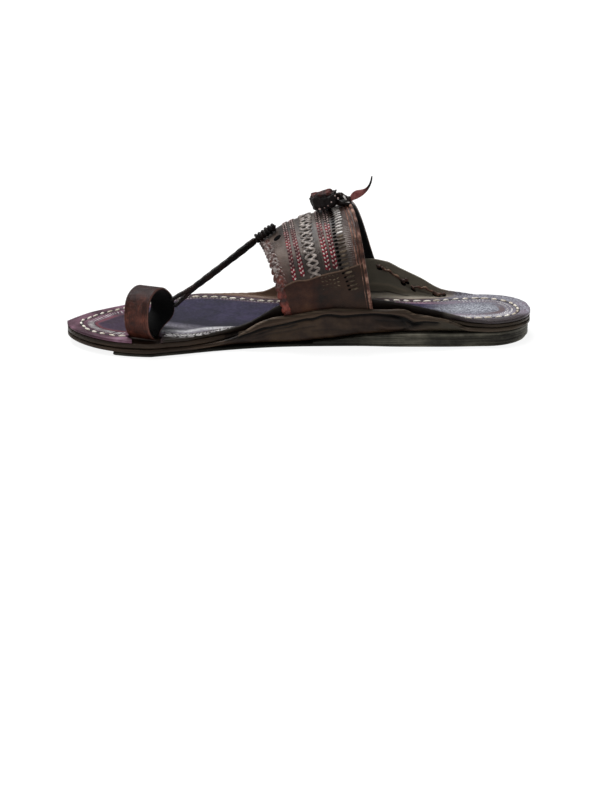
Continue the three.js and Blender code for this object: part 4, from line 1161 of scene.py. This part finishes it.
# Toe loop: a strap 15.5 mm wide and 2 mm thick, bent into a nearly closed ring round the big toe.
# Both ends go down through the notch. Tooled lines run beside its edges.
LOOP_X, LOOP_Y, LOOP_TURN, LOOP_WIDTH, LOOP_WALL = 95.0, 50.5, math.radians(23), 15.5, 2.0
LOOP_PROFILE = (
    (-8.6, 8.3), (-6.0, 10.1), (-3.5, 12.9), (-1.8, 16.8), (-1.2, 21.5), (-1.7, 26.5), (-3.6, 32.0),
    (-7.9, 35.9), (-15.0, 37.8), (-22.5, 36.6), (-29.2, 32.4), (-33.6, 27.6), (-35.1, 22.6),
    (-33.6, 17.6), (-29.0, 15.0), (-22.0, 13.4), (-16.6, 11.3), (-14.2, 8.5))
loop_along = Vector((math.cos(LOOP_TURN), -math.sin(LOOP_TURN), 0))
loop_across = Vector((math.sin(LOOP_TURN), math.cos(LOOP_TURN), 0))
loop_run = spline(LOOP_PROFILE, 0.8)


def place_loop(u, w, face):
    here, i, at = walk(loop_run, u)
    run = (loop_run[min(i + 2, len(loop_run) - 1)] - loop_run[max(i - 1, 0)]).normalized()
    wide = to_rim(w) * LOOP_WIDTH / 2
    to_edge = LOOP_WIDTH / 2 - abs(wide)
    fall = rounding(to_edge, 0.7)
    tooled = sum(0.22 * math.exp(-((to_edge - line) / 0.22) ** 2) for line in (1.7, 2.7))
    inward = LOOP_WALL - fall if face == 0 else fall + tooled
    spot = here + Vector((-run.y, run.x)) * inward
    co = Vector((LOOP_X, LOOP_Y, 0)) + loop_across * spot.x + loop_along * wide + Vector((0, 0, spot.y))
    return co, (wide, at * 0.8, face), (to_edge, 0, face)


def loop_scratches_and_painted_light(tree, colour, height, gloss):
    """Fine crossed scratches of a stippled strap; a darker crown, painted shade; a paler line by the edges
    of the outer face, cut edge and painted highlight; painted shade, black, over the inside of the ring."""
    flat = parts(tree, "flat")
    strip = add_node(tree, "Attribute", {"attribute_name": "flat"}).outputs["Vector"]
    scratch = add_node(tree, "Mapping", {"Scale": (2.6, 0.35, 1)}, {"Vector": strip})
    marks = add_node(tree, "TexNoise", {"Scale": 1.6, "Detail": 4, "Roughness": 0.7},
                     {"Vector": scratch.outputs["Vector"]})
    light = add_node(tree, "ValToRGB", {"stops": ((0.4, "5a5250"), (0.62, "ffffff"))},
                     {"Fac": marks.outputs["Fac"]})
    streaked = add_node(tree, "MixRGB", {"blend_type": "MULTIPLY", "Fac": 0.7},
                        {"Color1": colour, "Color2": light.outputs["Color"]})
    inside_face = add_node(tree, "Math", {"operation": "LESS_THAN", 1: 0.5}, {0: flat["Z"]}).outputs[0]
    colour = layers(tree, streaked.outputs["Color"], [
        # Painted shade: black inside, darker on the crown; the pale edge line is partly a painted highlight.
        ("050404", (inside_face, 0, 1)),
        ("1b1013", (parts(tree, "Object")["Z"], 0.031, 0.036, 0.0, 0.85)),
        ("7a5348", (parts(tree, "seam")["X"], 0.2, 0.6, 0.45, 0.0), (flat["Z"], 0, 1))])
    raised = add_node(tree, "Math", {"operation": "MULTIPLY_ADD", 1: 0.3},
                      {0: marks.outputs["Fac"], 2: height})
    matt = add_node(tree, "Math", {"operation": "MULTIPLY_ADD", 1: 0.6}, {0: inside_face, 2: gloss})
    return colour, raised.outputs[0], matt.outputs[0]


# Strap hide, stippled: mid brown with a pinkish shine on the bend.
loop_hide = leather("stippled_brown_strap", ("2d130b", "552a1e", "864b3a"), 12, (0.36, 0.52), 0.9, 0.08,
                    pattern=loop_scratches_and_painted_light, shine=0.2)
bm = two_faces(150, 40, place_loop)
make_piece("toe_loop_strap", bm, loop_hide, "loop_leather", "toe_loop")

# Thong: two dark leather strands, apart where they hook the loop's rear rim, then twisted
# together up to the band, where one end goes under the binding.
THONG_START, THONG_END = Vector((72.6, 23.4, 26.6)), Vector((28.4, -1.5, 55.6))
# Oiled cord hide: near-black with a thin satin line along each strand.
cord_hide = leather("near_black_cord", ("070404", "120b09", "261814"), 8, (0.3, 0.48), 0.7, 0.06, shine=0.16)
bm = bmesh.new()
for hand in (-1, 1):
    points = []
    for i in range(71):
        t = i / 70
        centre = THONG_START.lerp(THONG_END, -0.075 + 1.125 * t) - Vector((0, 0, 0.4 * 4 * t * (1 - t)))
        ahead = (THONG_END - THONG_START).normalized()
        side = ahead.cross(Vector((0, 0, 1))).normalized()
        up = side.cross(ahead)
        turn = 0.22 + 0.12 * math.sin(5 * t)
        apart = 1.0 + 1.5 * smoothstep((0.26 - t) / 0.26) + 0.1 * math.sin(17 * t)
        points.append(centre + (up * math.cos(turn) + side * math.sin(turn)) * hand * apart)
    strand(bm, points, [1.3 + 0.08 * math.sin(i * 0.9 + hand) for i in range(71)], 10)
strand(bm, [THONG_START.lerp(THONG_END, 0.22 + 0.82 * i / 40) - Vector((0, 0, 1.0)) * (1 - i / 40) * 0.8
            for i in range(41)], [1.15 + 0.07 * math.sin(i * 1.3) for i in range(41)], 10)
make_piece("toe_thong_strands", bm, cord_hide, "cord_leather", "toe_thong")

# Binding: the thong's end, wrapped six times by a thin black lace over the band's front edge.
# The lace is near-black and round, so the turns show as ribs.
BINDING_TURNS = 6
BINDING_FROM, BINDING_TO = Vector((27.2, -1.5, 57.0)), Vector((14.4, -1.5, 65.9))
bm = bmesh.new()
ahead = (BINDING_TO - BINDING_FROM).normalized()
side = Vector((0, 1, 0))
up = side.cross(ahead) * -1
points = []
for i in range(169):
    t = i / 168
    angle = 2 * math.pi * BINDING_TURNS * t
    centre = BINDING_FROM.lerp(BINDING_TO, 0.04 + 0.9 * t + 0.02 * math.sin(angle))
    out = side * math.cos(angle) + up * math.sin(angle)
    points.append(centre + out * (1.75 + 0.2 * math.sin(1.7 * angle)))
strand(bm, points, 1.05, 8)
strand(bm, [BINDING_FROM.lerp(BINDING_TO, i / 12) for i in range(13)], 2.0, 8)
make_piece("thong_binding_wrap", bm, cord_hide, "cord_leather", "thong_binding")

# Pompom: a strip of red-brown hide gathered tight and sewn down, so it stands as a drum of deep
# folds. The top is redder; the sides are painted nearly black as shade.
POMPOM_TILT = math.radians(17)


def pompom_painted_side_shade(tree, colour, height, gloss):
    """Painted shade: black from the foot up the sides, red left towards the top."""
    return layers(tree, colour, [("0d0504", (parts(tree, "flat")["Z"], 0.98, 0.8))]), height, gloss


# Thin red hide, crumpled: wine red on the tops of its folds, black between them.
pompom_hide = leather("gathered_red_hide", ("0b0403", "2c0c08", "5a1f15"), 5, (0.35, 0.55), 0.8, 0.1,
                      pattern=pompom_painted_side_shade, shine=0.2)
bm = bmesh.new()
flat = bm.verts.layers.float_vector.new("flat")
low, high = (Vector(corner) * 1000 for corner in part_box("pompom"))
centre, half = (low + high) / 2, (high - low) / 2
tilt = Matrix.Rotation(POMPOM_TILT, 3, "Y")
for v in bmesh.ops.create_uvsphere(bm, u_segments=120, v_segments=60, radius=1)["verts"]:
    p = v.co.normalized()
    angle = math.atan2(p.y, p.x)
    level = math.hypot(p.x, p.y)
    folds = 0.035 * math.sin(7 * angle + 2.5 * math.sin(2 * angle)) + 0.012 * math.sin(29 * angle + 5 * p.z)
    lumps = 0.13 * noise.noise(p * 1.9 + Vector((3, 1, 0))) + 0.06 * noise.noise(p * 5.0)
    petals = 0.10 * math.sin(7 * level + 2.2 * angle) + 0.24 * noise.noise(Vector((p.x * 2.4, p.y * 2.4, 4)))
    reach = level ** 0.36 * (0.95 + (folds + lumps) * smoothstep(level * 1.5))
    rise = math.copysign(abs(p.z) ** 0.5, p.z) * (0.88 + lumps) + petals * smoothstep(p.z * 1.6)
    local = Vector((math.cos(angle) * reach * half.x * 0.98, math.sin(angle) * reach * half.y,
                    rise * half.z * 0.84))
    v.co = centre + tilt @ local
    v.co.z = min(v.co.z, high.z)
    v[flat] = (angle, 0, (p.z + 1) / 2)
make_piece("pompom_folds", bm, pompom_hide, "pompom_leather", "pompom")
bm = bmesh.new()
for x, y, z, size in ((-11.8, 4.6, 77.2, 0.75), (-14.6, 4.9, 78.0, 0.4), (-16.6, 4.9, 79.3, 0.45),
                      (-18.6, 4.6, 81.4, 0.5), (-20.8, 3.4, 85.0, 0.45), (-22.6, 2.0, 83.2, 0.6)):
    bead(bm, Matrix.Translation((x, y, z)), (size, size * 0.7, size * 0.8), 8, 6)
make_piece("pompom_stitches", bm, cream_thong, "pompom_leather")

# Knot behind the pompom: a short black lace wound four times and tied down over the rear edge,
# with one pale glossy turn.
KNOT_RUN = (  # x, z and how far the lace winds out
    (-22.5, 83.4, 2.0), (-24.6, 82.8, 2.3), (-27.0, 81.6, 2.3), (-29.0, 80.6, 1.9), (-30.2, 79.6, 1.4))
KNOT_Y, KNOT_TURNS = -4, 4.3
bm = bmesh.new()
knot_run = spline(KNOT_RUN, 0.12)
points = []
for i, p in enumerate(knot_run):
    angle = 2 * math.pi * KNOT_TURNS * i / len(knot_run)
    swing = Vector((0.45 * math.cos(1.7 * angle), math.cos(angle), math.sin(angle)))
    points.append(Vector((p.x, KNOT_Y, p.y)) + swing * (p.z * 0.72 + 0.25 * math.sin(2.6 * angle)))
strand(bm, points, 0.95, 8)
strand(bm, [Vector((p.x, KNOT_Y, p.y)) for p in knot_run[::5]], [p.z * 0.9 for p in knot_run[::5]], 10)
bead(bm, Matrix.Translation((-25.4, -3.6, 79.9)) @ Matrix.Rotation(0.3, 4, "Y"), (4.2, 4.4, 2.2), 16, 10)
for line in (((-23, 1.0, 81.5), (-25.5, 2.4, 80.6), (-28, 1.8, 79.6), (-30.0, -0.5, 79.2)),
             ((-22, -9.0, 82.0), (-25.5, -8.6, 81.4), (-28.4, -7.4, 80.2), (-30.2, -5.0, 79.4)),
             ((-24, -2.0, 79.2), (-26.5, -3.0, 79.8), (-29.2, -3.6, 80.4), (-30.6, -4.0, 80.9))):
    strand(bm, [Vector(p) for p in spline(line, 0.6)], 1.0, 8)
make_piece("bow_knot_lace", bm, cord_hide, "cord_leather", "bow_knot")
bm = bmesh.new()
for line in (((-25.6, -1.2, 84.2), (-26.6, -0.2, 83.0), (-27.4, 0.2, 81.6)),
             ((-26.6, 0.6, 80.2), (-28.4, 0.0, 80.0), (-29.6, -1.2, 79.8))):
    strand(bm, [Vector(p) for p in spline(line, 0.4)], 0.5, 8)
make_piece("bow_knot_pale_turn", bm, pale_glossy_thong, "cord_leather")

# Tail: the lace's loose end, a thin tapering ribbon that curls up behind the knot, dull red at
# its root and black at its tip.
TAIL = (  # x, z and width
    (-29.3, 79.6, 1.2), (-30.4, 81.0, 2.2), (-31.9, 82.9, 4.2), (-34.0, 84.4, 4.8), (-36.6, 85.5, 3.8),
    (-39.2, 87.2, 2.2), (-41.0, 89.6, 1.4), (-42.1, 92.5, 1.1), (-42.5, 95.2, 0.8))


def tail_tone(tree, colour, height, gloss):
    """Dull red at the root, black from three quarters of the way to the tip."""
    return layers(tree, colour, [("120a0a", (parts(tree, "flat")["Y"], 0.45, 0.75))]), height, gloss


# Thin ribbon of dyed hide: dusty red and matt, black at the tip.
tail_hide = leather("dull_red_ribbon", ("4a2322", "6f3a38", "8a5450"), 8, (0.4, 0.55), 0.8, 0.05,
                    pattern=tail_tone)
tail_run = spline(TAIL, 0.4)


def place_tail(u, w, face):
    here, i, at = walk(tail_run, u)
    run = tail_run[i + 1] - tail_run[i]
    ahead = Vector((run.x, 0, run.y)).normalized()
    across = Vector((-ahead.z, 0, ahead.x))
    turn = 0.5 * math.sin(2.2 * u)
    wide = across * math.cos(turn) + Vector((0, 1, 0)) * math.sin(turn)
    deep = ahead.cross(wide)
    offset = to_rim(w) * here.z / 2
    fall = rounding(here.z / 2 - abs(offset), 0.3)
    cup = 0.5 * (offset / max(here.z / 2, 0.1)) ** 2
    co = Vector((here.x, KNOT_Y, here.y)) + wide * offset + deep * ((0.35 - fall) * (1 if face else -1) + cup)
    return co, (offset, u, face), (0, 0, 0)


make_piece("bow_tail_ribbon", two_faces(60, 12, place_tail), tail_hide, "pompom_leather", "bow_tail")
